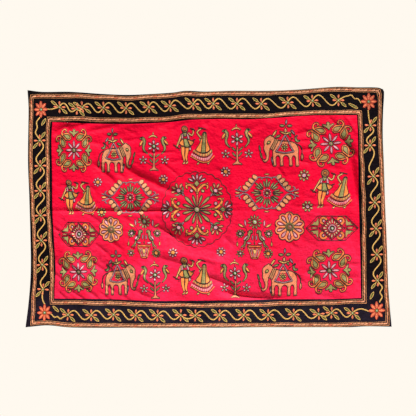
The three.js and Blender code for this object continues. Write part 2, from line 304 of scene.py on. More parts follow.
class Wire:
    """A shader socket that can be used in sums. node() makes any other node beside it."""

    def __init__(self, tree, socket):
        self.tree, self.socket = tree, socket

    def node(self, kind, settings=None, sockets=None, out=0):
        node = self.tree.nodes.new(kind)
        for key, value in (settings or {}).items():
            setattr(node, key, value)
        for key, value in (sockets or {}).items():
            if isinstance(value, Wire):
                self.tree.links.new(value.socket, node.inputs[key])
            else:
                node.inputs[key].default_value = value
        return Wire(self.tree, node.outputs[out])

    def math(self, operation, *values):
        return self.node("ShaderNodeMath", {"operation": operation}, dict(enumerate(values)))

    def sine(self):
        return self.math("SINE", self)

    def limited(self):
        return self.math("MINIMUM", self.math("MAXIMUM", self, 0.0), 1.0)

    def mixed(self, start, end):
        """A colour between start and end, with this socket as the share."""
        return self.node("ShaderNodeMix", {"data_type": "RGBA"}, {0: self, 6: start, 7: end}, 2)

    def times(self, vector):
        return self.node("ShaderNodeVectorMath", {"operation": "MULTIPLY"}, {0: self, 1: vector})

    def __add__(self, other):
        return self.math("ADD", self, other)

    def __radd__(self, other):
        return self.math("ADD", other, self)

    def __sub__(self, other):
        return self.math("SUBTRACT", self, other)

    def __rsub__(self, other):
        return self.math("SUBTRACT", other, self)

    def __mul__(self, other):
        return self.math("MULTIPLY", self, other)

    def __rmul__(self, other):
        return self.math("MULTIPLY", other, self)

    def __truediv__(self, other):
        return self.math("DIVIDE", self, other)

    def __rtruediv__(self, other):
        return self.math("DIVIDE", other, self)


def material(name, roughness, specular, sheen=0.0, sheen_tint=(1, 1, 1)):
    """A new material with its constant values set, its place socket, and a call to link a varying value."""
    made = bpy.data.materials.new(name)
    made.use_nodes = True
    shader = made.node_tree.nodes["Principled BSDF"]
    for socket, value in {
        "Roughness": roughness, "Specular IOR Level": specular, "Sheen Weight": sheen,
        "Sheen Roughness": 0.45, "Sheen Tint": (*sheen_tint, 1),
    }.items():
        shader.inputs[socket].default_value = value
    place = made.node_tree.nodes.new("ShaderNodeTexCoord").outputs["Object"]

    def link(socket, wire):
        made.node_tree.links.new(wire.socket, shader.inputs[socket])

    return made, Wire(made.node_tree, place), link


def linear(red, green, blue):
    """A colour seen on the screen, from 0 to 255, as the shader's linear one."""
    c = np.array([red, green, blue]) / 255
    return tuple(float(v) for v in np.where(c < 0.04045, c / 12.92, ((c + 0.055) / 1.055) ** 2.4))


def cotton(name, colour, shade, lower_colour, lower_from, lower_over, thread, roughness, specular):
    """Plain woven cotton, sizes in metres: threads of a spacing, slubs both ways, fine crumpling and uneven
    dye. From a height downwards its colour turns, unevenly, towards a lower colour."""
    made, place, link = material(name, roughness, specular)

    def noise(scale, stretch=(1, 1, 1)):
        sockets = {"Vector": place.times(stretch), "Scale": scale, "Detail": 3.0}
        return place.node("ShaderNodeTexNoise", None, sockets)

    x, _, z = (place.node("ShaderNodeSeparateXYZ", None, {0: place}, k) for k in range(3))
    weave = (x * (2 * math.pi / thread)).sine() * (z * (2 * math.pi / thread)).sine()
    slubs = noise(900.0, (1, 1, 0.03)) + noise(900.0, (0.03, 1, 1))
    dye = noise(7.0) * 0.6 + noise(55.0) * 0.4
    tone = (dye - 0.5) * 1.6 + (slubs - 1.0) * 0.8 + weave * 0.1 + 0.5
    # Downwards from a height the colour turns towards the lower colour; on the red this is painted light
    # and painted sheen, for the brighter light low on the hanging.
    lower_share = ((lower_from - z) / lower_over + (dye - 0.5) * 1.2).limited()
    link("Base Color", tone.limited().mixed((*shade, 1), lower_share.mixed((*colour, 1), (*lower_colour, 1))))
    woven = place.node("ShaderNodeBump", None, {
        "Strength": 0.25, "Distance": 0.0006, "Height": weave * 0.5 + slubs * 0.7})
    crumple = noise(34.0, (1, 1, 1.6)) + noise(80.0, (1, 1, 1.4)) * 0.5 + noise(180.0) * 0.3
    link("Normal", place.node("ShaderNodeBump", None, {
        "Strength": 0.6, "Distance": 0.006, "Height": crumple, "Normal": woven}))
    return made


def edged(length, cell, near_edge):
    """Shares along a side with close steps at both ends, where the seam draws the cloth in."""
    steps = np.linspace(near_edge[-1] + cell, length - near_edge[-1] - cell, int(length / cell))
    ends = np.array(near_edge)
    return np.concatenate([ends, steps, length - ends[::-1]]) / length


def drawn_in(distance):
    """How far the front face sinks at this distance from a seam."""
    return SEAM_DIP * np.exp(-((distance / SEAM_DIP_WIDTH) ** 2))


u = edged(GROUND_WIDTH, GROUND_CELL, SEAM_STEPS)
v = edged(GROUND_HEIGHT, GROUND_CELL, SEAM_STEPS)
from_seam = np.minimum(
    np.minimum(u, 1 - u)[None] * GROUND_WIDTH, np.minimum(v, 1 - v)[:, None] * GROUND_HEIGHT)
ground_x, ground_z = inside(SEAM, u[None], v[:, None])
ground = cloth_sheet("ground", ground_x, ground_z, CLOTH / 2 - drawn_in(from_seam), CLOTH / 2)
# The red's lower colour is lighter and pinker: painted light and painted sheen, for the brighter light on
# the lower part of the hanging.
red_cotton = cotton(
    "red_cotton", linear(244, 0, 56), linear(230, 0, 44), linear(250, 44, 92), lower_from=-0.4,
    lower_over=0.385, thread=0.0009, roughness=0.55, specular=0.09)
ground.data.materials.append(red_cotton)
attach(ground, "root")
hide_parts("ground_panel")


# Border strips
# Four strips of black cotton, mitred at the corners and sewn to the ground. Each one's outer edge is
# turned to the back in a narrow hem.
STRIP_CELL = 5.5
STRIP_WIDTH = 115
HEM, HEM_LAYER = 9, 0.9  # width and thickness of the turned hem
HEM_ROUND, HEM_ROUND_WIDTH = 0.35, 1.2  # its rounded fold
# how long each strip's outer edge is, and whether its rows run inwards as seen from the front
SIDES = {"top": (1520, True), "bottom": (1550, False), "left": (1000, False), "right": (1010, True)}

# The black's lower colour is lighter and bluer, along the bottom edge.
black_cotton = cotton(
    "black_cotton", linear(14, 5, 12), linear(7, 2, 6), linear(39, 30, 46), lower_from=-0.8, lower_over=0.12,
    thread=0.001, roughness=0.75, specular=0.08)
# rows of the mesh from the outer edge to the seam, as shares of the width
across = np.concatenate([
    [0, 0.8, 2.5, 5, HEM - 0.4, HEM + 0.4], np.linspace(HEM + 4, STRIP_WIDTH - 8, 18),
    STRIP_WIDTH - np.array(SEAM_STEPS[::-1]),
]) / STRIP_WIDTH


def on_side(side, outline, share):
    """x and z at a share along one side of an outline."""
    ends = {"top": (share, 0 * share), "bottom": (share, 0 * share + 1),
            "left": (0 * share, share), "right": (0 * share + 1, share)}
    return inside(outline, *ends[side])


def on_strip(side, share, inward):
    """x and z on a border strip, at a share along it and a share inwards from its outer edge."""
    outer, seam = on_side(side, OUTER, share), on_side(side, SEAM, share)
    return outer[0] + (seam[0] - outer[0]) * inward, outer[1] + (seam[1] - outer[1]) * inward


for side, (length, inward_first) in SIDES.items():
    inward = (across if inward_first else across[::-1])[:, None]
    share = edged(length, STRIP_CELL, (-0.06, 4.0))[None]
    x, z = on_strip(side, share, inward)
    hem_round = HEM_ROUND * np.exp(-inward * STRIP_WIDTH / HEM_ROUND_WIDTH)
    front = CLOTH / 2 - hem_round - drawn_in((1 - inward) * STRIP_WIDTH)
    back = CLOTH / 2 - hem_round + HEM_LAYER * (inward * STRIP_WIDTH < HEM)
    strip = cloth_sheet(f"strip_{side}", x, z, front + 0 * x, back + 0 * x)
    strip.data.materials.append(black_cotton)
    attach(strip, "root")
    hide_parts(f"border_{side}")


# Braid rows
# Two rows run round the border: a rope of thick orange stitches, each slanting across the row, between
# two thin tan lines of stem stitch. Black cloth shows in the gaps.
threads = []


def thread(red, green, blue):
    """The number of a new thread, whose colour is as seen on the screen."""
    threads.append(linear(red, green, blue))
    return len(threads) - 1


ROPE, ROPE_DARK, TAN = thread(255, 174, 128), thread(242, 134, 92), thread(216, 146, 94)


def resampled(path, step, closed=False):
    """Points along a path, an even step apart."""
    path = np.asarray(path, float)
    if closed:
        path = np.concatenate([path, path[:1]])
    run = np.concatenate([[0], np.cumsum(np.hypot(*np.diff(path, axis=0).T))])
    count = max(2, int(round(run[-1] / step)))
    at = np.linspace(0, run[-1], count + 1)
    return np.stack([np.interp(at, run, path[:, k]) for k in (0, 1)], -1)


def beside(path, distance):
    """A path moved to its own left by a distance."""
    along_it = np.gradient(np.asarray(path, float), axis=0)
    along_it /= np.maximum(np.hypot(*along_it.T), 1e-6)[:, None]
    return path + np.asarray(distance)[..., None] * np.stack([-along_it[:, 1], along_it[:, 0]], -1)


SATIN_OVERLAP = 2.2  # where a long stitch is broken
STEM_OVERLAP, STEM_SLANT = 0.2, 0.16  # shares of a stitch's length and width
UNEVEN = 0.9  # how far a repeat strays from its drawing
END_SUNK, SIDE_SUNK = 0.15, 0.1  # how far a strand's ends and sides go into the cloth
# painted shade where a strand dives into the cloth and along its sides, and a painted highlight along its
# top
END_PAINTED_SHADE, SIDE_PAINTED_SHADE, TOP_PAINTED_HIGHLIGHT = 0.78, 0.86, 1.03


class Hoop:
    """The stitches of a motif in its own millimetres. Each row is a strand: from x and z, to x and z, its
    bow aside, width, height, lift above the cloth, and thread."""

    def __init__(self):
        self.rows = []

    def strands(self, a, b, thread, width, height=0.9, lift=0.0, bow=0.0):
        a, b = np.atleast_2d(a), np.atleast_2d(b)
        fixed = [np.broadcast_to(value, len(a)) for value in (bow, width, height, lift, thread)]
        self.rows.append(np.column_stack([a, b, *fixed]))

    def stem(self, path, thread, width=2.0, stitch=6.0, lift=0.4, closed=False):
        """A line of stem stitch, each stitch slanting over the end of the last."""
        path = np.asarray(path, float)
        around = np.hypot(*np.diff(path, axis=0).T).sum()
        p = resampled(path, min(stitch, max(around / 6, 1.5)), closed)
        step = np.diff(p, axis=0)
        aside = STEM_SLANT * width * np.stack([-step[:, 1], step[:, 0]], -1)
        aside /= np.maximum(np.hypot(*step.T), 1e-6)[:, None]
        start, end = p[:-1] - STEM_OVERLAP * step - aside, p[1:] + STEM_OVERLAP * step + aside
        self.strands(start, end, thread, width, 0.55 * width, lift)

    def rows_of_stem(self, path, thread, count, spacing, width=2.2, stitch=7.0, lift=0.0):
        """Lines of stem stitch side by side."""
        path = resampled(path, 2.0)
        for k in range(count):
            self.stem(beside(path, (k - (count - 1) / 2) * spacing), thread, width, stitch, lift)

    def chain(self, path, thread, width=4.5, link=7.0, lift=0.0, closed=False):
        """A line of chain stitch, each link two strands that part and meet."""
        p = resampled(path, link, closed)
        step = np.diff(p, axis=0)
        for side in (1, -1):
            self.strands(p[:-1] - 0.08 * step, p[1:] + 0.08 * step, thread, 0.45 * width, 0.4 * width, lift,
                         side * 0.3 * width)

    def satin(self, outline, thread, angle=0.0, pitch=1.5, longest=13.0, lift=0.0, holes=()):
        """A filled shape: strands laid side by side at an angle, long ones broken like bricks."""
        turn = math.radians(angle)
        across = np.array([[math.cos(turn), -math.sin(turn)], [math.sin(turn), math.cos(turn)]])
        rings = [np.asarray(ring, float) @ across for ring in (outline, *holes)]
        x1, z1 = np.concatenate(rings).T
        x2, z2 = np.concatenate([np.roll(ring, -1, axis=0) for ring in rings]).T
        starts, ends = [], []
        for line, level in enumerate(np.arange(z1.min() + pitch / 2, z1.max(), pitch)):
            hit = (z1 > level) != (z2 > level)
            cuts = np.sort(x1[hit] + (level - z1[hit]) * (x2[hit] - x1[hit]) / (z2[hit] - z1[hit]))
            for left, right in zip(cuts[::2], cuts[1::2]):
                if right - left < 0.7:
                    continue
                count = math.ceil((right - left) / longest)
                shares = np.arange(count + 1) / count
                if count > 1 and line % 2:
                    shares = np.concatenate([[0], (np.arange(count) + 0.5) / count, [1]])
                x = left + (right - left) * shares
                starts += [(value, level) for value in (left - 0.4, *(x[1:-1] - SATIN_OVERLAP))]
                ends += [(value, level) for value in (*(x[1:-1] + SATIN_OVERLAP), right + 0.4)]
        if starts:
            a, b = np.array(starts) @ across.T, np.array(ends) @ across.T
            self.strands(a, b, thread, 1.3 * pitch, 0.8, lift)

    def moved(self, x=0.0, z=0.0, wide=1.0, tall=1.0, turn=0.0, lean=0.0):
        """The stitches turned, then slanted, then scaled or mirrored, then moved."""
        rows = np.concatenate(self.rows)
        cos, sin = math.cos(math.radians(turn)), math.sin(math.radians(turn))
        for k in (0, 2):
            px, pz = rows[:, k] * cos - rows[:, k + 1] * sin, rows[:, k] * sin + rows[:, k + 1] * cos
            rows[:, k], rows[:, k + 1] = x + wide * (px + lean * pz), z + tall * pz
        rows[:, 4] *= np.sign(wide * tall)
        return rows

    def work(self, motif, **where):
        """Works another motif's stitches into this one."""
        self.rows.append(motif.moved(**where))

    def placed(self, number=0, *place, **more):
        """The stitches in their place on the cloth. Each repeat, by its number, is a little uneven."""
        rows = self.moved(*place, **more)
        for k in (0, 2):
            x, z = rows[:, k].copy(), rows[:, k + 1].copy()
            rows[:, k] += UNEVEN * np.sin(z / 19 + 2.1 * number)
            rows[:, k + 1] += UNEVEN * np.sin(x / 23 + 1.3 * number)
        return np.column_stack([rows, np.full(len(rows), number)])


def strand_shell(rows, stations, face, tones):
    """Points, quads, triangles and tones of strands on one face of the cloth (1 front, -1 back). The tones
    carry painted shade at each strand's ends and sides and a painted highlight along its top.
    """
    a, b = rows[:, 0:2], rows[:, 2:4]
    bow, width, tall, lift = rows[:, 4:8].T
    step = b - a
    aside = np.stack([-step[:, 1], step[:, 0]], -1) / np.maximum(np.hypot(*step.T), 1e-6)[:, None]

    def point(place, off):
        depth = -height(*place.T, OVER[face]) - face * (CLOTH / 2 + off)
        return np.stack([place[:, 0], depth, place[:, 1]], -1)

    # each strand's colours: painted shade at its ends and sides, and a painted highlight along its top
    ring = [point(a, 0.4 * lift - END_SUNK)]
    tone = [END_PAINTED_SHADE * tones]
    for t in stations:
        swell = 1 - 0.5 * abs(2 * t - 1) ** 2
        centre = a + t * step + aside * (bow * 4 * t * (1 - t))[:, None]
        for reach, off, shade in (
            (1, -SIDE_SUNK, SIDE_PAINTED_SHADE), (0, swell * tall, TOP_PAINTED_HIGHLIGHT), (-1, -SIDE_SUNK, SIDE_PAINTED_SHADE)):
            ring.append(point(centre + reach * aside * (swell * width / 2)[:, None], lift + off))
            tone.append(shade * tones)
    ring.append(point(b, 0.4 * lift - END_SUNK))
    tone.append(END_PAINTED_SHADE * tones)
    size, last = len(ring), len(ring) - 1
    triangles = [(0, 3, 2), (0, 2, 1), (last - 1, last, last - 2), (last - 2, last, last - 3)]
    quads = [
        corners
        for k in range(1, last - 3, 3)
        for corners in ((k + 2, k + 5, k + 4, k + 1), (k + 1, k + 4, k + 3, k))
    ]
    base = size * np.arange(len(rows))[:, None, None]
    turn = slice(None, None, face)
    quads = (np.array(quads, int).reshape(-1, 4)[:, turn] + base).reshape(-1, 4)
    triangles = (np.array(triangles)[:, turn] + base).reshape(-1, 3)
    return np.stack(ring, 1).reshape(-1, 3), quads, triangles, np.stack(tone, 1).reshape(-1, 3)


# Stranded cotton thread: its colour comes with each stitch, with painted shade at each strand's ends and
# sides and a painted highlight along its top, and it has a soft gloss and fine fibres
floss, place, link = material("floss", 0.55, 0.35, 0.12, (1, 0.95, 0.9))
colour = place.node("ShaderNodeAttribute", {"attribute_name": "floss"})
fibre = place.node("ShaderNodeTexNoise", None, {"Vector": place, "Scale": 1600.0, "Detail": 2.0})
link("Base Color", place.node(
    "ShaderNodeVectorMath", {"operation": "SCALE"}, {0: colour, "Scale": fibre * 0.5 + 0.75}))
link("Normal", place.node("ShaderNodeBump", None, {"Strength": 0.3, "Distance": 0.0003, "Height": fibre}))


def embroider(name, stitches, uneven=0.1):
    """Makes one piece from placed stitches: strands on the front, and their plainer backs behind. In the
    bake map each repeat has a cell for its lower stitches, one for its upper ones and one for its back."""
    rows = np.concatenate(stitches)
    rng = np.random.default_rng(len(rows))
    vary = (1 + uneven * rng.standard_normal((len(rows), 1))).clip(0.6, 1.5)
    tones = np.array(threads)[rows[:, 8].astype(int)] * vary
    bowed = rows[:, 4] != 0
    shells, first = [], 0
    for chosen, stations, face in (
        (~bowed, (0.2, 0.8), 1), (bowed, (0.2, 0.5, 0.8), 1), (np.full(len(rows), True), (0.5,), -1)):
        points, quads, triangles, tone = strand_shell(rows[chosen], stations, face, tones[chosen])
        layer = 2 if face < 0 else rows[chosen, 7] > 0
        cell = np.repeat(3 * rows[chosen, 9] + layer, len(points) // max(chosen.sum(), 1))
        shells.append((points, quads + first, triangles + first, tone, cell))
        first += len(points)
    points, quads, triangles, tone, cell = (np.concatenate(part) for part in zip(*shells))
    used, cell = np.unique(cell, return_inverse=True)
    flat = points[:, (0, 2)]
    low = np.array([flat[cell == k].min(0) for k in range(len(used))])
    size = np.array([flat[cell == k].max(0) for k in range(len(used))]) - low
    columns = max(1, round(math.sqrt(len(used) * size[:, 1].max() / size[:, 0].max())))
    lines = math.ceil(len(used) / columns)
    local = 0.02 + 0.96 * (flat - low[cell]) / size.max(0)
    place = (np.stack([cell % columns, cell // columns], -1) + local) / [columns, lines]
    corners = np.concatenate([quads.ravel(), triangles.ravel()])
    piece = mesh_object(name, points, quads, triangles, place[corners])
    colours = piece.data.color_attributes.new("floss", "FLOAT_COLOR", "POINT")
    colours.data.foreach_set("color", np.column_stack([tone, np.ones(len(tone))]).ravel())
    piece.data.materials.append(floss)
    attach(piece, "root")
    return piece


# the outer and the inner row of each side: share along the strip, and share inwards from its outer edge
BRAIDS = {
    "top": ([(0, 0.2), (0.04, 0.155), (0.1, 0.135), (0.3, 0.11), (0.7, 0.092), (0.9, 0.1), (0.996, 0.099)],
            [(-0.003, 0.9), (0.06, 0.868), (0.3, 0.865), (0.7, 0.885), (1, 0.89)]),
    "bottom": ([(0.01, 0.127), (0.05, 0.1), (0.1, 0.095), (0.5, 0.09), (0.9, 0.09), (0.997, 0.107)],
               [(0.006, 0.86), (0.3, 0.86), (0.5, 0.825), (0.8, 0.855), (1, 0.89)]),
    "left": ([(0, 0.2), (0.04, 0.14), (0.1, 0.12), (0.4, 0.125), (0.65, 0.17), (0.85, 0.175), (0.93, 0.2),
              (1.016, 0.254)],
             [(0.006, 0.865), (0.1, 0.83), (0.5, 0.82), (0.7, 0.85), (0.93, 0.885), (1.01, 0.92)]),
    "right": ([(-0.006, 0.15), (0.1, 0.14), (0.25, 0.11), (0.5, 0.075), (0.8, 0.075), (0.93, 0.1),
               (1.004, 0.14)],
              [(0, 0.89), (0.2, 0.857), (0.5, 0.815), (0.75, 0.855), (1, 0.89)]),
}
BRAID_HALF = 6.6  # from the middle of a row to its tan lines
BRAID_WOBBLE = 0.7
BRAID_UNEVEN = 0.2  # in tone
ROPE_STITCH, ROPE_STEP, ROPE_PLIES, ROPE_SLANT = 20.0, 16.5, 2, 0.9
ROPE_PLY = {"top": 3.6, "bottom": 3.2, "left": 2.5, "right": 2.8}  # width of each ply


def strip_path(side, line, aside=0.0, wobble=0.0, points=260):
    """A path along a strip. line is a table of shares along it and inwards, and aside is in millimetres."""
    share = np.linspace(line[0][0], line[-1][0], points)
    shift = aside + wobble * np.sin(share * 37 + line[0][1] * 50 + aside)
    return np.stack(on_strip(side, share, along(line, share) + shift / STRIP_WIDTH), -1)


for side, rows in BRAIDS.items():
    hoop = Hoop()
    for k, row in enumerate(rows):
        middle = resampled(strip_path(side, row, wobble=BRAID_WOBBLE), ROPE_STEP)
        step = np.diff(middle, axis=0)
        aside = np.stack([-step[:, 1], step[:, 0]], -1) / np.hypot(*step.T)[:, None]
        reach = 0.5 * (ROPE_STITCH / ROPE_STEP - 1) * step
        colours = np.where(np.arange(len(step)) % 5 == 2 * k + 1, ROPE_DARK, ROPE)
        for ply in range(ROPE_PLIES):
            off = (ply - (ROPE_PLIES - 1) / 2) * ROPE_PLY[side] * 0.9
            start = middle[:-1] - reach + (off - ROPE_SLANT) * aside
            end = middle[1:] + reach + (off + ROPE_SLANT) * aside
            hoop.strands(start, end, colours, ROPE_PLY[side], 1.5)
        for edge in (-BRAID_HALF, BRAID_HALF):
            hoop.stem(resampled(strip_path(side, row, edge, BRAID_WOBBLE), 2.0), TAN, 2.3, 9.0, 0.2)
    embroider(f"braid_{side}", [hoop.placed()], BRAID_UNEVEN)


# Border vine
# A gold vine runs along the border in waves, with a coral flower and two green leaves at each crossing and
# a larger flower in each corner. The flowers are spaced by hand, and some crowd together.
GOLD, CORAL, CORAL_DARK = thread(236, 188, 104), thread(248, 138, 94), thread(206, 70, 44)
OLIVE, LEAF, SKY, INK = thread(142, 150, 76), thread(92, 106, 36), thread(196, 208, 216), thread(24, 18, 20)

# the line of the flowers: share along the strip, and share inwards from its outer edge
VINE_LINE = {
    "top": [(0, 0.5), (0.07, 0.49), (0.11, 0.55), (0.13, 0.49), (0.3, 0.45), (1, 0.47)],
    "bottom": [(0, 0.42), (0.12, 0.43), (0.2, 0.465), (0.82, 0.46), (0.863, 0.52), (0.924, 0.48),
               (1, 0.49)],
    "left": [(0, 0.47), (0.2, 0.487), (0.3, 0.505), (0.5, 0.475), (0.75, 0.48), (0.85, 0.53), (1, 0.55)],
    "right": [(0, 0.45), (0.11, 0.485), (0.21, 0.52), (0.355, 0.42), (0.6, 0.39), (1, 0.4)],
}
# each flower's place on it: x on the top and bottom, z on the sides
FLOWERS = {
    "top": [-625, -551, -527, -439, -344, -247, -155, -56, 28, 128, 232, 343, 448, 559],
    "bottom": [-589, -490, -396, -302, -208, -111, -48, 53, 157, 259, 369, 475, 528, 616],
    "left": [-209, -317, -423, -527, -633, -736, -841],
    "right": [-143, -228, -360, -470, -581, -691, -802],
}
# x and z of its ends at the corner flowers, and how far from them it bends to reach them
VINE_ENDS = {"top": [(-676, -77), (656, -50)], "bottom": [(-661, -945), (686, -931)],
             "left": [(-706, -112), (-687, -904)], "right": [(685, -79), (732, -895)]}
END_BEND = 30
# x and z of each corner flower, and half its width and height
CORNER_FLOWERS = {
    "top": [(-702, -78, 27, 34), (688, -43, 32, 34)], "bottom": [(-688, -940, 29, 34), (720, -929, 34, 36)]}
WAVE = {"top": 22, "bottom": 20, "left": 16, "right": 17}
WAVE_LENGTH = 104  # flowers closer than this have lower waves between them
CROWDED = 70  # between flowers closer than this the vine dips once
# a short ripple where the vine runs on to a corner: its place, height and length
RIPPLES = {"top": (628, -6, 32), "bottom": (-632, 6, 29), "left": (-154, 6, 56), "right": (-853, -8, 48)}
# a leaf at each inner corner: its strip, x and z of the root, length and angle
CORNER_LEAVES = [
    ("left", -682, -118, 32, -118), ("top", 640, -73, 42, 152), ("bottom", -652, -912, 34, -42),
    ("right", 708, -850, 34, -116)]


def turned(shape, angle, x=0.0, z=0.0):
    """A shape turned by an angle in degrees and moved."""
    px, pz = np.asarray(shape, float).T
    cos, sin = math.cos(math.radians(angle)), math.sin(math.radians(angle))
    return np.stack([x + px * cos - pz * sin, z + px * sin + pz * cos], -1)


def out(reach, angle, x=0.0, z=0.0):
    """The point at a reach from a middle, along an angle."""
    return turned([(reach, 0)], angle, x, z)[0]


def disc(x, z, wide, tall=None):
    """A round or oval shape."""
    turn = np.linspace(0, 2 * np.pi, 22, endpoint=False)
    return np.stack([x + wide * np.cos(turn), z + (tall or wide) * np.sin(turn)], -1)


def leaf(x, z, length, width, angle, fullest=0.5):
    """A leaf or petal that grows from its root along an angle, widest at a share of its length."""
    t = np.linspace(0, 1, 12)
    half = width / 2 * np.sin(np.pi * t ** (math.log(0.5) / math.log(fullest))) ** 0.8
    upper, lower = np.stack([length * t, half], -1), np.stack([length * t, -half], -1)
    return turned(np.concatenate([upper, lower[-2:0:-1]]), angle, x, z)


def grown(shape, by):
    """A closed shape made larger all round."""
    shape = np.asarray(shape, float)
    ahead = np.roll(shape, -1, axis=0)
    heading = ahead - np.roll(shape, 1, axis=0)
    heading /= np.maximum(np.hypot(*heading.T), 1e-6)[:, None]
    way = np.sign((shape[:, 0] * ahead[:, 1] - ahead[:, 0] * shape[:, 1]).sum())
    return shape + by * way * np.stack([heading[:, 1], -heading[:, 0]], -1)


def filled(hoop, shape, colour, angle=0.0, edge=INK, line=3.2, lift=0.0, holes=()):
    """A shape in satin stitch, with a dark line of stem stitch round it."""
    hoop.satin(shape, colour, angle, lift=lift, holes=holes)
    if edge is not None:
        hoop.stem(grown(shape, 0.35 * line), edge, 1.2 * line, 5.0, lift + 0.3, closed=True)


def spray(hoop, x, z, angles, inner, outer, width, colour, fullest=0.55, edge=INK, line=2.8, lift=0.0):
    """Petals or leaves growing from a ring round one point."""
    for angle in angles:
        petal = leaf(*out(inner, angle, x, z), outer - inner, width, angle, fullest)
        filled(hoop, petal, colour, angle + 70, edge, line, lift)


def round_about(count, start=90.0):
    """Angles all round, evenly spaced."""
    return start + 360 / count * np.arange(count)


blossom = Hoop()
spray(blossom, 0, 0, round_about(4), 6, 25, 9.0, CORAL, 0.66, None, lift=0.5)
for angle in (146, -40):
    root = out(15, angle)
    blossom.rows_of_stem([(0, 0), root], GOLD, 2, 1.6, 1.9)
    filled(blossom, leaf(*root, 27, 7.8, angle, 0.5), LEAF, angle + 60, GOLD, 2.3, lift=0.1)
filled(blossom, disc(0, 0, 5), OLIVE, 20, LEAF, 1.8, 0.6)
blossom.satin(disc(0, 0, 1.9), SKY, lift=1.3)

for side, flowers in FLOWERS.items():
    line = strip_path(side, VINE_LINE[side], points=700)
    axis, way = (0, 1) if side in ("top", "bottom") else (1, -1)
    run = way * line[:, axis]
    ends = np.array(VINE_ENDS[side])
    knots = way * np.array([ends[0, axis], *flowers, ends[1, axis]])
    spacing = np.diff(knots)
    turns = np.concatenate([[-0.5], np.arange(len(flowers)), [len(flowers) - 0.5]])
    share = np.clip((spacing / WAVE_LENGTH) ** 0.6, 0.3, 1)
    wave = WAVE[side] * np.interp(run, knots[:-1] + spacing / 2, share)
    turn = np.interp(run, knots, turns)
    gap = spacing[np.clip(np.searchsorted(knots, run) - 1, 0, len(spacing) - 1)]
    offset = wave * np.where(gap < CROWDED, -np.abs(np.sin(np.pi * turn)), np.sin(2 * np.pi * turn))
    place, tall, length = RIPPLES[side]
    phase = (run - way * place) / length
    offset += tall * np.cos(2 * np.pi * phase) * np.exp(-((phase / 0.7) ** 2))
    path = beside(line, offset)[(run > knots[0]) & (run < knots[-1])]
    for k in (0, -1):
        pull = np.exp(-np.hypot(*(path - path[k]).T) / END_BEND)
        path = path + pull[:, None] * (ends[k] - path[k])
    hoop = Hoop()
    hoop.rows_of_stem(path, GOLD, 2, 2.4, 3.2, 7.0)
    for place in knots[1:-1]:
        k = np.searchsorted(run, place)
        heading = line[k + 1] - line[k - 1]
        turn = math.degrees(math.atan2(heading[1], heading[0]))
        hoop.work(blossom, x=line[k, 0], z=line[k, 1], turn=turn)
    for x, z, wide, tall in CORNER_FLOWERS.get(side, []):
        flower = Hoop()
        for angle in round_about(8):
            petal = leaf(*out(0.24, angle), 0.8, 0.31, angle, 0.48) * [wide, tall] + [x, z]
            filled(flower, petal, CORAL, angle + 70, CORAL_DARK, 2.5, 0.3)
        filled(flower, disc(x, z, 6), OLIVE, 20, LEAF, 2.2, 0.6)
        flower.satin(disc(x, z, 2.6), SKY, lift=1.3)
        hoop.work(flower)
    for strip, x, z, length, angle in CORNER_LEAVES:
        if strip == side:
            filled(hoop, leaf(x, z, length, 8, angle, 0.45), LEAF, angle + 60, GOLD, 2.3, 0.1)
    embroider(f"vine_{side}", [hoop.placed()])


# Rosettes
# A star of eight pink petals with four pairs of hooked paisleys about it, and a green trefoil between the
# pairs, in satin stitch with dark outlines of stem stitch.
PINK, LILAC, ORANGE = thread(238, 170, 182), thread(188, 142, 154), thread(250, 156, 74)
SALMON, PALE_LEAF, GREEN = thread(250, 136, 68), thread(198, 192, 122), thread(138, 152, 92)
SAGE, STRAW = thread(164, 160, 96), thread(248, 190, 112)
ROSETTES = [
    (526, -221, 1.06, 1.03, 7), (-562, -250, 0.82, 1.0, 0), (-542, -764, 0.88, 0.95, 2),
    (522, -761, 1.02, 1.01, 4)]
HOOK = [(56, 20), (64, 17), (72, 13), (80, 8), (88, 5), (96, 10), (100, 20), (96, 30), (88, 32), (85, 26)]
HOOK_WIDTHS = [27, 32, 29, 19, 10, 6, 5, 5, 5, 5]
# the right half
TREFOIL = [(1, 57), (6, 65), (14, 71), (24, 78), (24, 81), (13, 79), (5, 75), (7, 83), (3, 89)]


def smooth(points, closed=False, steps=6):
    """A smooth curve through points."""
    p = np.array(points, float)
    if closed:
        p = np.concatenate([p[-1:], p, p[:2]])
    else:
        p = np.concatenate([2 * p[:1] - p[1:2], p, 2 * p[-1:] - p[-2:-1]])
    t = np.linspace(0, 1, steps, endpoint=False)[:, None]
    spans = [
        b + 0.5 * t * (c - a + t * (2 * a - 5 * b + 4 * c - d + t * (3 * b - a - 3 * c + d)))
        for a, b, c, d in zip(p[:-3], p[1:-2], p[2:-1], p[3:])
    ]
    return np.concatenate(spans if closed else [*spans, p[-2:-1]])


def limb(points, widths):
    """The outline of a rounded limb along a smooth curve, of given widths at its points."""
    path = smooth(points)
    half = np.interp(np.linspace(0, len(points) - 1, len(path)), np.arange(len(points)), widths) / 2

    def cap(end, heading, radius):
        turn = math.degrees(math.atan2(heading[1], heading[0]))
        return turned(radius * np.array([(0.7, 0.7), (1, 0), (0.7, -0.7)]), turn, *end)

    return np.concatenate([
        beside(path, half), cap(path[-1], path[-1] - path[-2], half[-1]),
        beside(path, -half)[::-1], cap(path[0], path[0] - path[1], half[0]),
    ])


def mirrored(half):
    """A closed shape from its right half, listed from bottom to top."""
    half = np.asarray(half, float)
    return np.concatenate([half, (half * [-1, 1])[::-1]])


def repeated(name, motif, places, uneven=0.1):
    """Makes one piece of a motif's repeats. Each place is x and z of the middle, and may add the width and
    height against the drawn size, and a turn."""
    return embroider(name, [motif.placed(k, *place) for k, place in enumerate(places)], uneven)


paisley = Hoop()
drop = leaf(84, 8, 38, 17.5, 156, 0.66)
filled(paisley, limb(HOOK, HOOK_WIDTHS), SALMON, 60, line=3.0, holes=[grown(drop, 1)])
filled(paisley, drop, SAGE, 50, line=2.8)

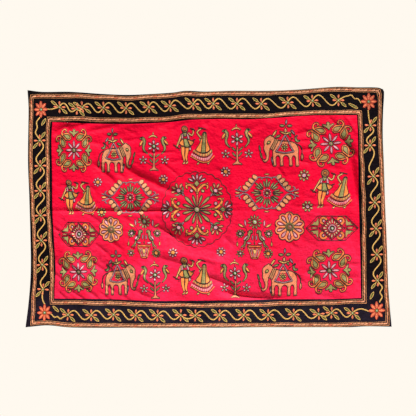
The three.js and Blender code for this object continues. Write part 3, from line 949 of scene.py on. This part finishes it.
paisleys = Hoop()
for side in (1, -1):
    paisleys.work(paisley, tall=side)

trefoil = Hoop()
filled(trefoil, mirrored(TREFOIL), SAGE, 25, line=2.8)

rosette = Hoop()
spray(rosette, 0, 0, round_about(8), 10, 42, 9.2, PINK, 0.5, line=2.4)
filled(rosette, disc(0, 0, 8), OLIVE, 30)
rosette.satin(disc(0, 0, 3.4), LILAC, lift=0.6)
for quarter in range(4):
    rosette.work(paisleys, turn=45 + 90 * quarter)
    rosette.work(trefoil, turn=90 * quarter)
rosettes = repeated("rosettes", rosette, ROSETTES)


# Elephants
# Peach elephants, each under a tent-shaped saddle cloth of lilac cord, with sprigs and a flower above and
# a leafy stalk held in the trunk. They are drawn facing left, and the two on the left are mirrored.
PEACH, BROWN, SOOT = thread(230, 147, 102), thread(150, 92, 58), thread(92, 82, 54)
ELEPHANTS = [
    (316, -221, 1.0, 1.0), (-382, -251, -0.83, 0.95), (-364, -768, -0.85, 0.97), (310, -768, 1.0, 1.03)]
ELEPHANT_UNEVEN = 0.16  # in tone
LEGS = [(-28, 5), (2, 4.6), (40, 4.6), (68, 5)]  # x and half width
FOOT, KNEE, BELLY = -96, -68, -51
TRUNK = [(-60, -20), (-58, -39), (-56, -54), (-59, -67), (-68, -74), (-76, -67)]
TRUNK_WIDTHS = [26, 13, 9, 8, 7, 5]
SADDLE = [(33, 0), (21, 8), (9, 14), (-3, 18.5), (-15, 24), (-26, 31), (-35, 38)]  # height and half width
SADDLE_X, SADDLE_HEM = 16, -42
BACK = 4  # the saddle lies on the body below this height
# x and z of a leaf's root, its length, width and angle, and its thread
SPRIGS = [
    (-36, 30, 30, 8, 56, GOLD), (-24, 25, 24, 8, 22, GREEN), (57, 38, 24, 7, 128, LILAC),
    (41, 29, 15, 6, 125, GREEN), (-93, -8, 26, 4.5, -76, GREEN), (-88, -36, 30, 5, -72, OLIVE),
    (-40, -58, 34, 5, -78, LILAC), (90, -44, 26, 9, -92, PEACH)]


def arc(x, z, wide, tall, start, end):
    """Points along an oval from one angle to another."""
    turn = np.radians(np.linspace(start, end, 10))
    return np.stack([x + wide * np.cos(turn), z + tall * np.sin(turn)], -1)


def knot(hoop, x, z, size, colour, lift=0.7):
    """A small round dot."""
    hoop.satin(disc(x, z, size), colour, 30, lift=lift)


elephant = Hoop()
trunk = smooth(TRUNK)
thick = np.interp(np.linspace(0, len(TRUNK) - 1, len(trunk)), range(len(TRUNK)), TRUNK_WIDTHS) / 2
under = []
for (x, half), after in zip(LEGS, [*LEGS[1:], None]):
    under += [(x - half, KNEE), (x - half - 1, FOOT), (x + half + 1, FOOT), (x + half, KNEE)]
    if after:
        gap = after[0] - after[1] - x - half
        under += arc(x + half + gap / 2, KNEE, gap / 2, BELLY - KNEE, 165, 15).tolist()
body = np.concatenate([
    [(-33, 27), (-45, 36)], arc(-47, 4, 25, 25, 115, 200), beside(trunk, -thick),
    beside(trunk, thick)[::-1], [(-34, -27)], under, arc(42, -32, 31, 38, -15, 80),
    [(16, 9), (-8, 11), (-24, 16)],
])
edge = np.array([(SADDLE_X - half, z) for z, half in SADDLE])
saddle = np.concatenate([edge, [(SADDLE_X, SADDLE_HEM)], (edge * [-1, 1] + [2 * SADDLE_X, 0])[:0:-1]])
cord = np.concatenate([saddle, saddle[:1]])
filled(elephant, body, PEACH, 55, holes=[saddle[saddle[:, 1] < BACK]])
elephant.rows_of_stem(cord, INK, 2, 6.6, 2.4, lift=0.5)
elephant.chain(cord, LILAC, 4.8, 6.0, lift=0.8)
elephant.stem([(-1, 8), (34, 8)], INK, 2.4, lift=0.6)
elephant.satin(disc(18, 16, 3), PEACH)
spray(elephant, 14, -17, round_about(8), 5, 16, 5.5, GOLD, 0.65, line=1.8)
filled(elephant, disc(14, -17, 5), OLIVE, line=2.0, lift=0.5)
filled(elephant, leaf(-60, 0, 17, 10, 35), OLIVE, 40, line=2.6, lift=0.7)
elephant.satin(leaf(-57, 2, 9, 4, 35), GOLD, 80, lift=1.3)
for shift, colour in ((0, INK), (4, TAN), (8, SOOT), (12, TAN), (16, INK)):
    elephant.stem([(-27 + shift, 17), (-47 + shift, -23 - shift / 3)], colour, 4.0, 5.0, lift=0.7)
for x, half in LEGS:
    elephant.satin(disc(x, FOOT + 2, half + 1, 4.5), BROWN, 90, lift=0.7)
filled(elephant, limb([(-4, 49), (8, 44), (19, 40), (31, 43), (43, 46)], [3, 6, 7, 6, 3]), GOLD, 90)
filled(elephant, leaf(19, 45, 20, 11, 90, 0.4), PEACH, 20)
elephant.stem([(19, 32), (20, 42)], INK)
elephant.stem([(20, 64), (20, 84)], INK)
for side in (1, -1):
    filled(elephant, leaf(21 + 5 * side, 73, 22, 9, 90 - 85 * side), GREEN, 60)
filled(elephant, leaf(21, 79, 21, 6, 85), LILAC)
for x, z, length, width, angle, colour in SPRIGS:
    filled(elephant, leaf(x, z, length, width, angle), colour, angle + 65)
elephant.stem(smooth([(-34, 32), (-42, 30)]), INK, 2.4)
for path in ([(38, 12), (50, 22), (58, 30), (66, 35)], [(40, 20), (50, 22)], [(58, 30), (56, 38)]):
    elephant.stem(path, INK, 3.0)
knot(elephant, 67, 33, 4.4, INK)
filled(elephant, limb([(62, 26), (61, 17), (67, 10), (77, 12)], [4, 8, 8, 4]), GREEN, 20)
for bead in resampled(smooth([(66, -2), (80, -10), (88, -24), (89, -40)]), 6.5):
    knot(elephant, *bead, 3.4, INK)
elephants = repeated("elephants", elephant, ELEPHANTS, ELEPHANT_UNEVEN)


# Trees
# A slender tree with a pink flower, flanked by two green parrots with orange wings, two small flowers below
# and a gold bud on top.
TREES = [(131, -225, 1.0, 1.0), (-222, -254, 0.94, 0.95), (-217, -799, 0.94, 0.93), (123, -794, 0.96, 0.97)]
PARROT = [(43, 60), (38, 50), (40, 36), (46, 24), (47, 10), (42, 0), (33, -11)]
PARROT_WIDTHS = [13, 11, 9.5, 9, 7.5, 5.5, 3]
STALK = [(0, -83), (8, -83), (19, -86), (20, -83), (9, -77), (3, -69), (2.5, -40), (2, -7)]  # right half

parrot = Hoop()
filled(parrot, limb(PARROT, PARROT_WIDTHS), SAGE, 20, line=2.6)
filled(parrot, leaf(46, 64, 13, 7, -32, 0.35), SAGE, 60, line=2.4)
knot(parrot, 45, 62, 2, INK)
filled(parrot, leaf(44, 52, 30, 10, -53), ORANGE, 60, line=2.2, lift=0.6)
parrot.stem(smooth([(30, 52), (33, 38), (37, 28)]), INK, 3.4)

half_tree = Hoop()
for x, z, angle in ((6, -27, 42), (5, -51, 48)):
    filled(half_tree, leaf(x, z, 25, 5.4, angle), GREEN, angle + 70, line=2.4)
half_tree.stem([(5, -65), (38, -47)], INK, 2.4)
spray(half_tree, 49, -40, round_about(5, 88), 6, 19, 7.5, PINK, 0.62, line=2.2)
filled(half_tree, disc(49, -40, 5), SAGE, line=2.4, lift=0.4)

tree = Hoop()
tree.work(parrot)
tree.work(parrot, z=4, wide=-1, turn=-8)
tree.work(half_tree)
tree.work(half_tree, wide=-1)
filled(tree, mirrored(STALK), PEACH, 30, line=2.6)
spray(tree, -2, 23, round_about(6), 9, 27, 10, PINK, 0.62)
filled(tree, disc(-2, 23, 7.5), OLIVE, 30, lift=0.4)
knot(tree, -2, 23, 3.4, SKY, 1.0)
bud = limb([(-23, 61), (-13, 68), (-4, 70), (5, 68), (14, 62)], [3, 5, 7, 5, 3])
filled(tree, bud, STRAW, 90, line=2.4)
filled(tree, leaf(-4, 74, 13, 4, 90, 0.4), STRAW, 20, line=2.0)
tree.stem([(-4, 65), (-3, 51)], INK)
trees = repeated("trees", tree, TREES)


# Dancers
# Four pairs of dancers with short sticks, seen from behind: one in a flared tunic, one in a long veil over
# a wide flounced skirt.
# x and z of the middle, width and height against the drawn size, lean, and radius of the head
DANCERS = [
    (530, -415, 1.0, 1.0, 0, 16), (-56, -227, 0.94, 1.02, -0.17, 13), (-547, -449, 0.88, 0.93, -0.22, 12),
    (-57, -783, 0.95, 0.98, -0.18, 14)]
TUNIC = [(-37, 26), (-25, 26), (-18, -6), (-29, -9), (-42, -6)]
# the tunic's flared sides, and the angle of their stitches
FLARES = [
    ([(-41, 26), (-64, 6), (-49, -7), (-39, -2)], 45), ([(-21, 26), (6, 13), (-10, -2), (-15, 1)], -45)]
TROUSERS = [
    [(-49, -10), (-53, -32), (-52, -50), (-51, -66)], [(-29, -10), (-36, -32), (-41, -50), (-40, -65)]]
ARMS = [
    [(-45, 42), (-61, 16), (-79, -12)], [(-12, 49), (0, 41), (8, 48), (11, 66)],
    [(41, 28), (27, 51), (35, 60), (50, 68)]]
STICKS = [[(-90, -1), (-66, -16)], [(-2, 70), (19, 61)], [(34, 72), (68, 64)], [(1, 20), (14, 24)]]
VEIL = [(53, 48), (60, 52), (67, 47), (65, 16), (69, -20), (42, -33), (9, -22), (28, 2), (41, 24)]
STRIPE = [(56, 50), (64, 50), (57, 16), (48, -32), (29, -33), (43, 9)]
# edges of the two flounces, and the hem: x of both ends, their height, and how far the line dips
FLOUNCES = [(2, 77, -18, 1), (-8, 81, -28, 5), (-10, 78, -33, 3), (-18, 78, -44, 7), (-20, 86, -46, 10)]


def fringe(hoop, upper, lower, pitch, colours, width):
    """Strands of a width from one line down to another, in turns of thread."""
    count = max(2, int(np.hypot(*np.diff(np.asarray(lower, float), axis=0).T).sum() / pitch))
    share = np.linspace(0, 1, count)
    ends = []
    for path in (upper, lower):
        p = resampled(path, 1.0)
        ends.append(np.stack([np.interp(share, np.linspace(0, 1, len(p)), p[:, k]) for k in (0, 1)], -1))
    hoop.strands(*ends, np.resize(colours, count), width, 0.8)


dancers = Hoop()
filled(dancers, limb([(-29, 52), (-30, 39)], [18, 8]), SAGE)
for x, lean in ((-41, -8), (-18, 8)):
    filled(dancers, limb([(x, 44), (x + lean / 3, 29)], [7, 8]), PINK, line=2.2)
for flare, angle in FLARES:
    filled(dancers, flare, ORANGE, angle)
filled(dancers, TUNIC, SAGE, 80, lift=0.5)
for leg in TROUSERS:
    filled(dancers, limb(leg, [14.5, 11.5, 9, 5.5]), ORANGE, 75, line=2.4)
for x, z in ((-51, -69), (-38, -68)):
    filled(dancers, limb([(x, z), (x - 1, z - 5), (x - 8, z - 9)], [6, 6, 4]), STRAW, line=2.0)
for arm in ARMS:
    filled(dancers, limb(arm, np.linspace(7, 5, len(arm))), STRAW, 10, line=2.2)
for stick in STICKS:
    dancers.rows_of_stem(stick, INK, 2, 2.0, 2.6, lift=0.7)
filled(dancers, leaf(-15, -7, 17, 8, 250), PINK, 20)
for hand in ((-66, -16), (-60, -10), (-68, -24)):
    knot(dancers, *hand, 2.4, INK)
filled(dancers, smooth(VEIL, True), ORANGE, 70, holes=[STRIPE])
filled(dancers, STRIPE, SAGE, 10)
knot(dancers, 33, 21, 3.4, GREEN)
band = []
for x, end, z, dip in FLOUNCES:
    low = z - 13 - dip
    band.append(smooth([(x, z), (20, low), (40, low - 4), (60, low), (end, z)]))
fringe(dancers, band[0], band[1], 2.6, [TAN, OLIVE, SAGE, CORAL_DARK, STRAW], 2.8)
fringe(dancers, band[2], band[3], 3.0, [PINK, PINK, CORAL_DARK], 3.0)
for line in band[:4]:
    dancers.stem(line, INK, 1.9)
dancers.stem(band[4], ORANGE, 3.0, 8.0)
dancers.stem(beside(band[4], -3.4), INK, 2.0)
for x in (16, 63):
    filled(dancers, leaf(x, -72, 15, 6, 215), STRAW, line=2.2)

pairs = []
for number, (x, z, wide, tall, lean, head) in enumerate(DANCERS):
    pair = Hoop()
    pair.work(dancers)
    head_z = 67 - (16 - head) / 2
    filled(pair, disc(-28, head_z, head), BROWN, 25)
    for share, colour in ((0.72, TAN), (0.48, BROWN), (0.25, ORANGE)):
        pair.chain(disc(-28, head_z, share * head), colour, 4.0, 4.0, 0.6, closed=True)
    pairs.append(pair.placed(number, x, z, wide, tall, lean=lean))
dancing = embroider("dancers", pairs)


# Eye medallions
# Two long medallions of lilac cord, pointed at both ends, edged with peach scallops and filled with sprays
# of leaves round a dotted centre.
APRICOT, FROND = thread(238, 164, 112), thread(164, 170, 110)
EYES = [(256, -430, 1.0, 1.0), (-323, -450, 0.9, 0.98)]
EYE_CORD = [(0, 68), (18, 64), (37, 66), (49, 51), (65, 29), (81, 10), (97, 4), (110, 8), (120, 19)]
FRONDS_WIDE = 1.12  # the spray is an oval

quarter_eye = Hoop()
for path in (smooth(EYE_CORD), [(18, 64), (22, 56)], [(110, 8), (134, 15)], [(120, 19), (110, 27)]):
    quarter_eye.rows_of_stem(path, INK, 2, 5.6, 1.8)
    quarter_eye.chain(path, LILAC, 4.6, 6.0, 0.4)
scallop = limb([(-5.5, 0), (5.5, 0)], [16, 17])
for x, z in ((90, 20), (78, 35), (65, 50), (49, 65)):
    filled(quarter_eye, turned(scallop, 38, x, z), APRICOT, 128, line=2.4)

fronds = Hoop()
for angle in round_about(8):
    for lean, inner, outer in ((-13, 24, 51), (13, 24, 51), (0, 21, 62)):
        frond = leaf(*out(inner, angle + lean), outer - inner, 5.4, angle + lean, 0.6)
        filled(fronds, frond, FROND, angle + 75, line=2.3)

medallion = Hoop()
for wide in (1, -1):
    for tall in (1, -1):
        medallion.work(quarter_eye, wide=wide, tall=tall)
medallion.work(fronds, wide=FRONDS_WIDE)
filled(medallion, disc(0, 0, 6), PALE_LEAF, 20)
for k, angle in enumerate(round_about(20)):
    knot(medallion, *out(15.5, angle), 2.3, (LILAC, INK)[k % 2])
medallion.stem(disc(0, 0, 11), INK, 2.6, closed=True)
for z in (79, -79):
    filled(medallion, leaf(-11, z, 22, 5, 0), STRAW, 70, line=1.8)
for side in (1, -1):
    filled(medallion, leaf(113 * side, 0, 22, 7.5, 90 - 90 * side), STRAW, 70, line=2.0)
eyes = repeated("eye_medallions", medallion, EYES)


# Central medallion
# A wheel of long olive petals and gold scrolls, with pink fans on its axes and sprays on its diagonals,
# inside a thin scalloped ring.
CENTRE = (-40, -500)
RING_WIDE, RING_TALL, SCALLOPS = 144, 154, 25
SCROLL = np.array([(66, 0), (80, 4), (94, 15), (104, 29), (103, 40), (95, 46), (88, 41)])
SCROLL_WIDTHS = [6, 9, 10, 9, 8, 7, 5]

axis = Hoop()
filled(axis, limb([(15, 0), (40, 0), (70, 0)], [2.5, 3, 6]), ROPE_DARK, 10, line=2.4)
for side in (1, -1):
    for x, z, length, angle in ((104, 38, 14, 50), (99, 20, 11, -20)):
        filled(axis, leaf(x, z * side, length, 7, angle * side, 0.4), ORANGE, 60 * side, line=2.2)
    filled(axis, limb(SCROLL * [1, side], SCROLL_WIDTHS), ORANGE, 60 * side, line=2.4, lift=0.3)
    filled(axis, leaf(*out(12, 18 * side), 51, 9, 18 * side, 0.7), SAGE, 18 * side + 70)
filled(axis, [(97, 0), (110, 11), (124, 0), (110, -11)], SAGE, 20, lift=0.6)
spray(axis, 110, 0, (-60, -30, 0, 30, 60), 15, 42, 8, PINK, 0.62, line=3.4)

diagonal = Hoop()
filled(diagonal, leaf(13, 0, 62, 12, 0, 0.72), SAGE, 70)
spray(diagonal, 111, 0, (-72, -26, 16, 58), 10, 33, 9, APRICOT, 0.62)
filled(diagonal, disc(111, 0, 8.5), PINK, 20, line=3.0)
for side in (1, -1):
    curl = limb([(98, 4 * side), (101, 16 * side), (110, 25 * side)], [5, 8, 3])
    filled(diagonal, curl, GREEN, 20, line=2.2)
for root, angle in ((78, 12), (88, -40)):
    filled(diagonal, leaf(root, -2, 17, 6, angle), LILAC, 70, line=2.2)

wheel = Hoop()
for quarter in range(4):
    wheel.work(axis, turn=90 * quarter)
    wheel.work(diagonal, turn=45 + 90 * quarter)
    for side, colour in ((1, PINK), (-1, PALE_LEAF)):
        filled(wheel, disc(*turned([(79, 24 * side)], 90 * quarter)[0], 6.5), colour, 20)
filled(wheel, disc(0, 0, 10.5), SAGE, 30, line=3.0, lift=0.4)
knot(wheel, 0, 0, 5.5, LILAC, 1.0)
turn = np.linspace(0, 2 * np.pi, 14 * SCALLOPS, endpoint=False)
bulge = 1 + 0.05 * np.abs(np.sin(turn * SCALLOPS / 2))
ring = np.stack([RING_WIDE * bulge * np.cos(turn), RING_TALL * bulge * np.sin(turn)], -1)
wheel.stem(ring, INK, 3.2, closed=True)
centre = repeated("central_medallion", wheel, [CENTRE])


# Lozenges
# Two lozenges of thin dark line: a sun flower in a diamond, with horseshoes on the diamond's sides and
# green trefoils in the ends.
CREAM = thread(250, 202, 156)
LOZENGES = [(532, -580, 1.0, 1.0), (-541, -606, 0.78, 0.98)]
# a quarter's lines and their widths
LOZENGE_LINES = [
    ([(0, 52), (59, 52), (111, 0)], 2.9), ([(0, 49), (54, 0)], 3.5), ([(0, 42), (46, 0)], 2.8),
    (smooth([(57, 50), (54, 30), (54, 4)]), 1.7), (smooth([(54, 2), (72, 9), (90, 8), (108, 0)]), 1.7)]
END_TREFOIL = [(59, 10), (76, 12), (93, 13), (81, 18), (77, 27), (70, 24), (64, 32), (60, 44), (58, 27)]

quarter_lozenge = Hoop()
for path, width in LOZENGE_LINES:
    quarter_lozenge.stem(path, INK, width)
horseshoe = np.concatenate([arc(0, 0, 18, 18, 48, 312), arc(0, 0, 8, 8, 312, 48)])
filled(quarter_lozenge, turned(horseshoe, 219, 36, 31), SALMON, 30, line=2.2)
filled(quarter_lozenge, disc(36, 31, 5.2), PINK, line=1.8)
filled(quarter_lozenge, END_TREFOIL, SAGE, 100, line=1.7)

lozenge = Hoop()
for wide in (1, -1):
    for tall in (1, -1):
        lozenge.work(quarter_lozenge, wide=wide, tall=tall)
    filled(lozenge, leaf(61 * wide, 0, 30, 6, 90 - 90 * wide), APRICOT, 70, line=2.2)
for k, angle in enumerate(round_about(16)):
    spray(lozenge, 0, 0, [angle], 20, 35 if k % 4 else 41, 6.8, CREAM, 0.6, line=1.8)
lozenge.chain(disc(0, 0, 14.5), PINK, 6.0, 5.0, closed=True)
for reach in (18, 10.5):
    lozenge.stem(disc(0, 0, reach), INK, 2.6, closed=True)
filled(lozenge, disc(0, 0, 7), OLIVE, 20, line=2.6)
knot(lozenge, 0, 0, 3.6, SKY, 0.8)
lozenges = repeated("lozenges", lozenge, LOZENGES)


# Round flowers
# Two scalloped orange flowers with ten pink petals, each in a narrow gap of bare cloth, round a brown disc.
# The disc is worked in long straight stitches over the petals' roots.
AMBER = thread(248, 156, 98)
ROUND_FLOWERS = [(352, -575, 1.0, 1.0), (-404, -586, 0.8, 0.85)]
PETALS = 10
DISC_STITCHES, DISC_THREADS = 44, (BROWN, SOOT, OLIVE, SOOT)

turn = np.linspace(0, 2 * np.pi, 12 * PETALS, endpoint=False)
rim = 53 + 10 * np.abs(np.sin(PETALS / 2 * turn + np.pi / 2 * (PETALS // 2 + 1))) ** 0.7
scalloped = np.stack([rim * np.cos(turn), rim * np.sin(turn)], -1)
gaps = [leaf(*out(16, angle), 43, 19, angle, 0.68) for angle in round_about(PETALS)]
round_flower = Hoop()
filled(round_flower, scalloped, AMBER, 75, line=3.4, holes=gaps)
spray(round_flower, 0, 0, round_about(PETALS), 20, 55, 12, PINK, 0.68, line=2.6)
for k, angle in enumerate(round_about(DISC_STITCHES)):
    round_flower.strands(out(8, angle), out(21, angle), DISC_THREADS[k % len(DISC_THREADS)], 3.0, lift=0.8)
filled(round_flower, disc(0, 0, 11), BROWN, 30, SOOT, lift=1.4)
knot(round_flower, 2, 1, 4, LILAC, 1.9)
round_flowers = repeated("round_flowers", round_flower, ROUND_FLOWERS)


# Flower pots
# A pot with a flower between two parrots, sprigs on both sides, and four small flowers. The pot is bare
# cloth between two rims, with zigzag stripes of stem stitch.
POTS = [(204, -618, 1.0, 1.0), (-264, -616, 0.9, 0.99)]
POT_PARROT = [(11, 17), (14, 24), (21, 22), (23, 10), (27, -5), (35, -15)]
POT_PARROT_WIDTHS = [4, 8, 10, 11, 10, 5]
# x and z of a leaf's root, its length, width and angle, its thread, the angle of its stitches and its line
POT_LEAVES = [
    (47, 42, 27, 8, 30, STRAW, 90, 2.0), (39, 46, 27, 7, 84, PINK, 30, 2.2),
    (7, 8, 22, 6, -85, LILAC, 0, 2.0), (14, -28, 20, 7, 8, PINK, 70, 2.0)]
# flowers beside the pot's foot: x, reach of the petals' roots and tips, and the middle's radius; then the
# number of petals, and the middle's thread
FOOT_FLOWERS = [(57, 9, 21, 8, 10, ORANGE), (-61, 6, 17, 5, 7, PINK)]

half_pot = Hoop()
filled(half_pot, limb(POT_PARROT, POT_PARROT_WIDTHS), SAGE, 20)
knot(half_pot, 16, 24, 1.6, INK)
filled(half_pot, leaf(26, 6, 28, 9, -45, 0.45), PINK, 50, line=2.2, lift=0.6)
for end in ((57, -44), (41, -42)):
    filled(half_pot, limb([(38, -16), (42, -30), end], [5, 6, 3]), SAGE, 20, line=2.2)
half_pot.stem(smooth([(29, 20), (34, 30), (40, 40), (48, 44)]), INK, 2.4)
for x, z, length, width, angle, colour, lay, line in POT_LEAVES:
    filled(half_pot, leaf(x, z, length, width, angle), colour, lay, line=line)
spray(half_pot, 60, 15, round_about(9), 8, 18, 5.6, SAGE, 0.6, line=2.2)
filled(half_pot, disc(60, 15, 6.5), PINK, 20, line=3.0, lift=0.3)
half_pot.stem(smooth([(70, -2), (73, -10), (73, -19)]), INK, 2.2)
filled(half_pot, leaf(73, -19, 20, 6, -92, 0.6), GOLD, 20, line=2.0)
knot(half_pot, 42, 21, 3.4, INK)
knot(half_pot, 46, -48, 3.6, INK)
filled(half_pot, limb([(28, -42), (12, -90)], [5, 5]), SALMON, 20, line=1.8, lift=0.3)
for shift, colour in ((0, LILAC), (5, CORAL_DARK), (10, LILAC), (14, TAN)):
    stripe = [(22 - shift, -50), (13 - 0.6 * shift, -62), (16 - shift, -70), (10 - 0.7 * shift, -86)]
    half_pot.stem(stripe, colour, 3.4)

pot = Hoop()
pot.work(half_pot)
pot.work(half_pot, wide=-1)
for x, inner, outer, middle, petals, colour in FOOT_FLOWERS:
    spray(pot, x, -69, round_about(petals), inner, outer, 5.5, SAGE, 0.6, line=2.0)
    filled(pot, disc(x, -69, middle), colour, 20, line=2.8, lift=0.3)
pot.stem([(0, 46), (0, -36)], INK, 2.6)
spray(pot, 0, 64, round_about(11), 13, 30, 6.5, SAGE, 0.6, line=2.2)
filled(pot, disc(0, 64, 9), PALE_LEAF, 20, lift=0.3)
knot(pot, 0, 64, 4, SKY, 1.0)
knot(pot, 0, -25, 4, SOOT)
filled(pot, [(-31, -37), (31, -37), (29, -43), (-29, -43)], SALMON, 90, line=2.2)
filled(pot, [(-13, -87), (13, -87), (12, -92), (-12, -92)], SALMON, 90, line=2.0, lift=0.3)
pot.stem([(26 - 4.3 * k, -46 - 5 * (k % 2)) for k in range(13)], CORAL_DARK, 2.4)
filled(pot, [(-8, -54), (8, -54), (4, -72), (-4, -72)], GOLD, 60, line=2.0, lift=0.6)
pots = repeated("flower_pots", pot, POTS)


# Small flowers
# Eight small flowers that fill the gaps between the motifs. Each has eight petals in satin stitch round an
# orange or a pink middle, with dark outlines.
# x and z, size, turn, and the threads of the middle and the petals
SMALL_FLOWERS = [
    (-460, -384, 0.9, 0, ORANGE, PINK), (-184, -373, 0.95, 22, ORANGE, PINK),
    (-142, -684, 0.95, 0, ORANGE, PINK), (61, -681, 0.95, 22, ORANGE, PINK),
    (81, -341, 1.0, 22, ORANGE, PINK), (-445, -512, 0.9, 0, ORANGE, PALE_LEAF),
    (413, -357, 1.15, 0, PINK, PALE_LEAF), (427, -488, 1.1, 22, PINK, PALE_LEAF),
]
MIDDLES = {ORANGE: 8.4, PINK: 7.4}  # radius

small = []
for number, (x, z, size, turn, middle, petals) in enumerate(SMALL_FLOWERS):
    flower = Hoop()
    spray(flower, 0, 0, round_about(8, 90 + turn), 9.5, 21.5, 8.2, petals, 0.6, line=2.2)
    filled(flower, disc(0, 0, MIDDLES[middle]), middle, 20, line=2.6, lift=0.3)
    small.append(flower.placed(number, x, z, size, size))
small_flowers = embroider("small_flowers", small)


# Stage
# A plain pale floor below the hanging, soft light from above and in front, a weak lamp for the back, and
# the camera straight on.
MM_PER_PIXEL, PICTURE = 4.24, 416
CENTRE_X, CENTRE_Z = 6.4, -494.8  # the picture's middle on the hanging
CAMERA_DISTANCE, SENSOR = 4.5, 36
FLOOR_X, FLOOR_Y, FLOOR_Z = 1.6, 1.0, -1.62  # half its width and depth, and its height
BACKDROP_LIGHT = 0.14  # of the backdrop's brightness to the camera
TO_SUN = (0.32, -0.45, 0.83)

floor_mesh = bpy.data.meshes.new("floor")
floor_corners = [(x * FLOOR_X, y * FLOOR_Y, FLOOR_Z) for x, y in ((-1, -1), (1, -1), (1, 1), (-1, 1))]
floor_mesh.from_pydata(floor_corners, [], [(0, 1, 2, 3)])
floor = in_scene("floor", floor_mesh)
pale_floor, place, link = material("pale_floor", 0.8, 0.1)
grain = place.node("ShaderNodeTexNoise", None, {"Vector": place, "Scale": 3.0})
link("Base Color", grain.mixed((*linear(222, 216, 206), 1), (*linear(230, 224, 215), 1)))
floor_mesh.materials.append(pale_floor)

world = bpy.data.worlds.new("studio")
bpy.context.scene.world = world
world.use_nodes = True
background = world.node_tree.nodes["Background"]
background.inputs["Color"].default_value = (*linear(255, 249, 239), 1)
seen = Wire(world.node_tree, world.node_tree.nodes.new("ShaderNodeLightPath").outputs["Is Camera Ray"])
strength = seen * (1 - BACKDROP_LIGHT) + BACKDROP_LIGHT
world.node_tree.links.new(strength.socket, background.inputs["Strength"])

sun = bpy.data.lights.new("sun", "SUN")
sun.energy, sun.angle, sun.color = 6.3, math.radians(6), (1, 0.98, 0.95)
tilt = math.acos(TO_SUN[2] / math.hypot(*TO_SUN))
in_scene("sun", sun).rotation_euler = (tilt, 0, math.atan2(TO_SUN[0], -TO_SUN[1]))

rear = bpy.data.lights.new("rear", "AREA")
rear.energy, rear.size = 60, 2.4
lamp = in_scene("rear", rear)
lamp.location, lamp.rotation_euler = (0, 2.6, 1.6), (-math.radians(52), 0, 0)
lamp.visible_camera = False

camera = bpy.data.cameras.new("camera")
camera.sensor_width = SENSOR
camera.lens = SENSOR * CAMERA_DISTANCE / (PICTURE * MM_PER_PIXEL * MM)
eye = in_scene("camera", camera)
eye.location = (CENTRE_X * MM, -CAMERA_DISTANCE, CENTRE_Z * MM)
eye.rotation_euler = (math.pi / 2, 0, 0)
bpy.context.scene.camera = eye
bpy.context.scene.view_settings.view_transform = "Standard"
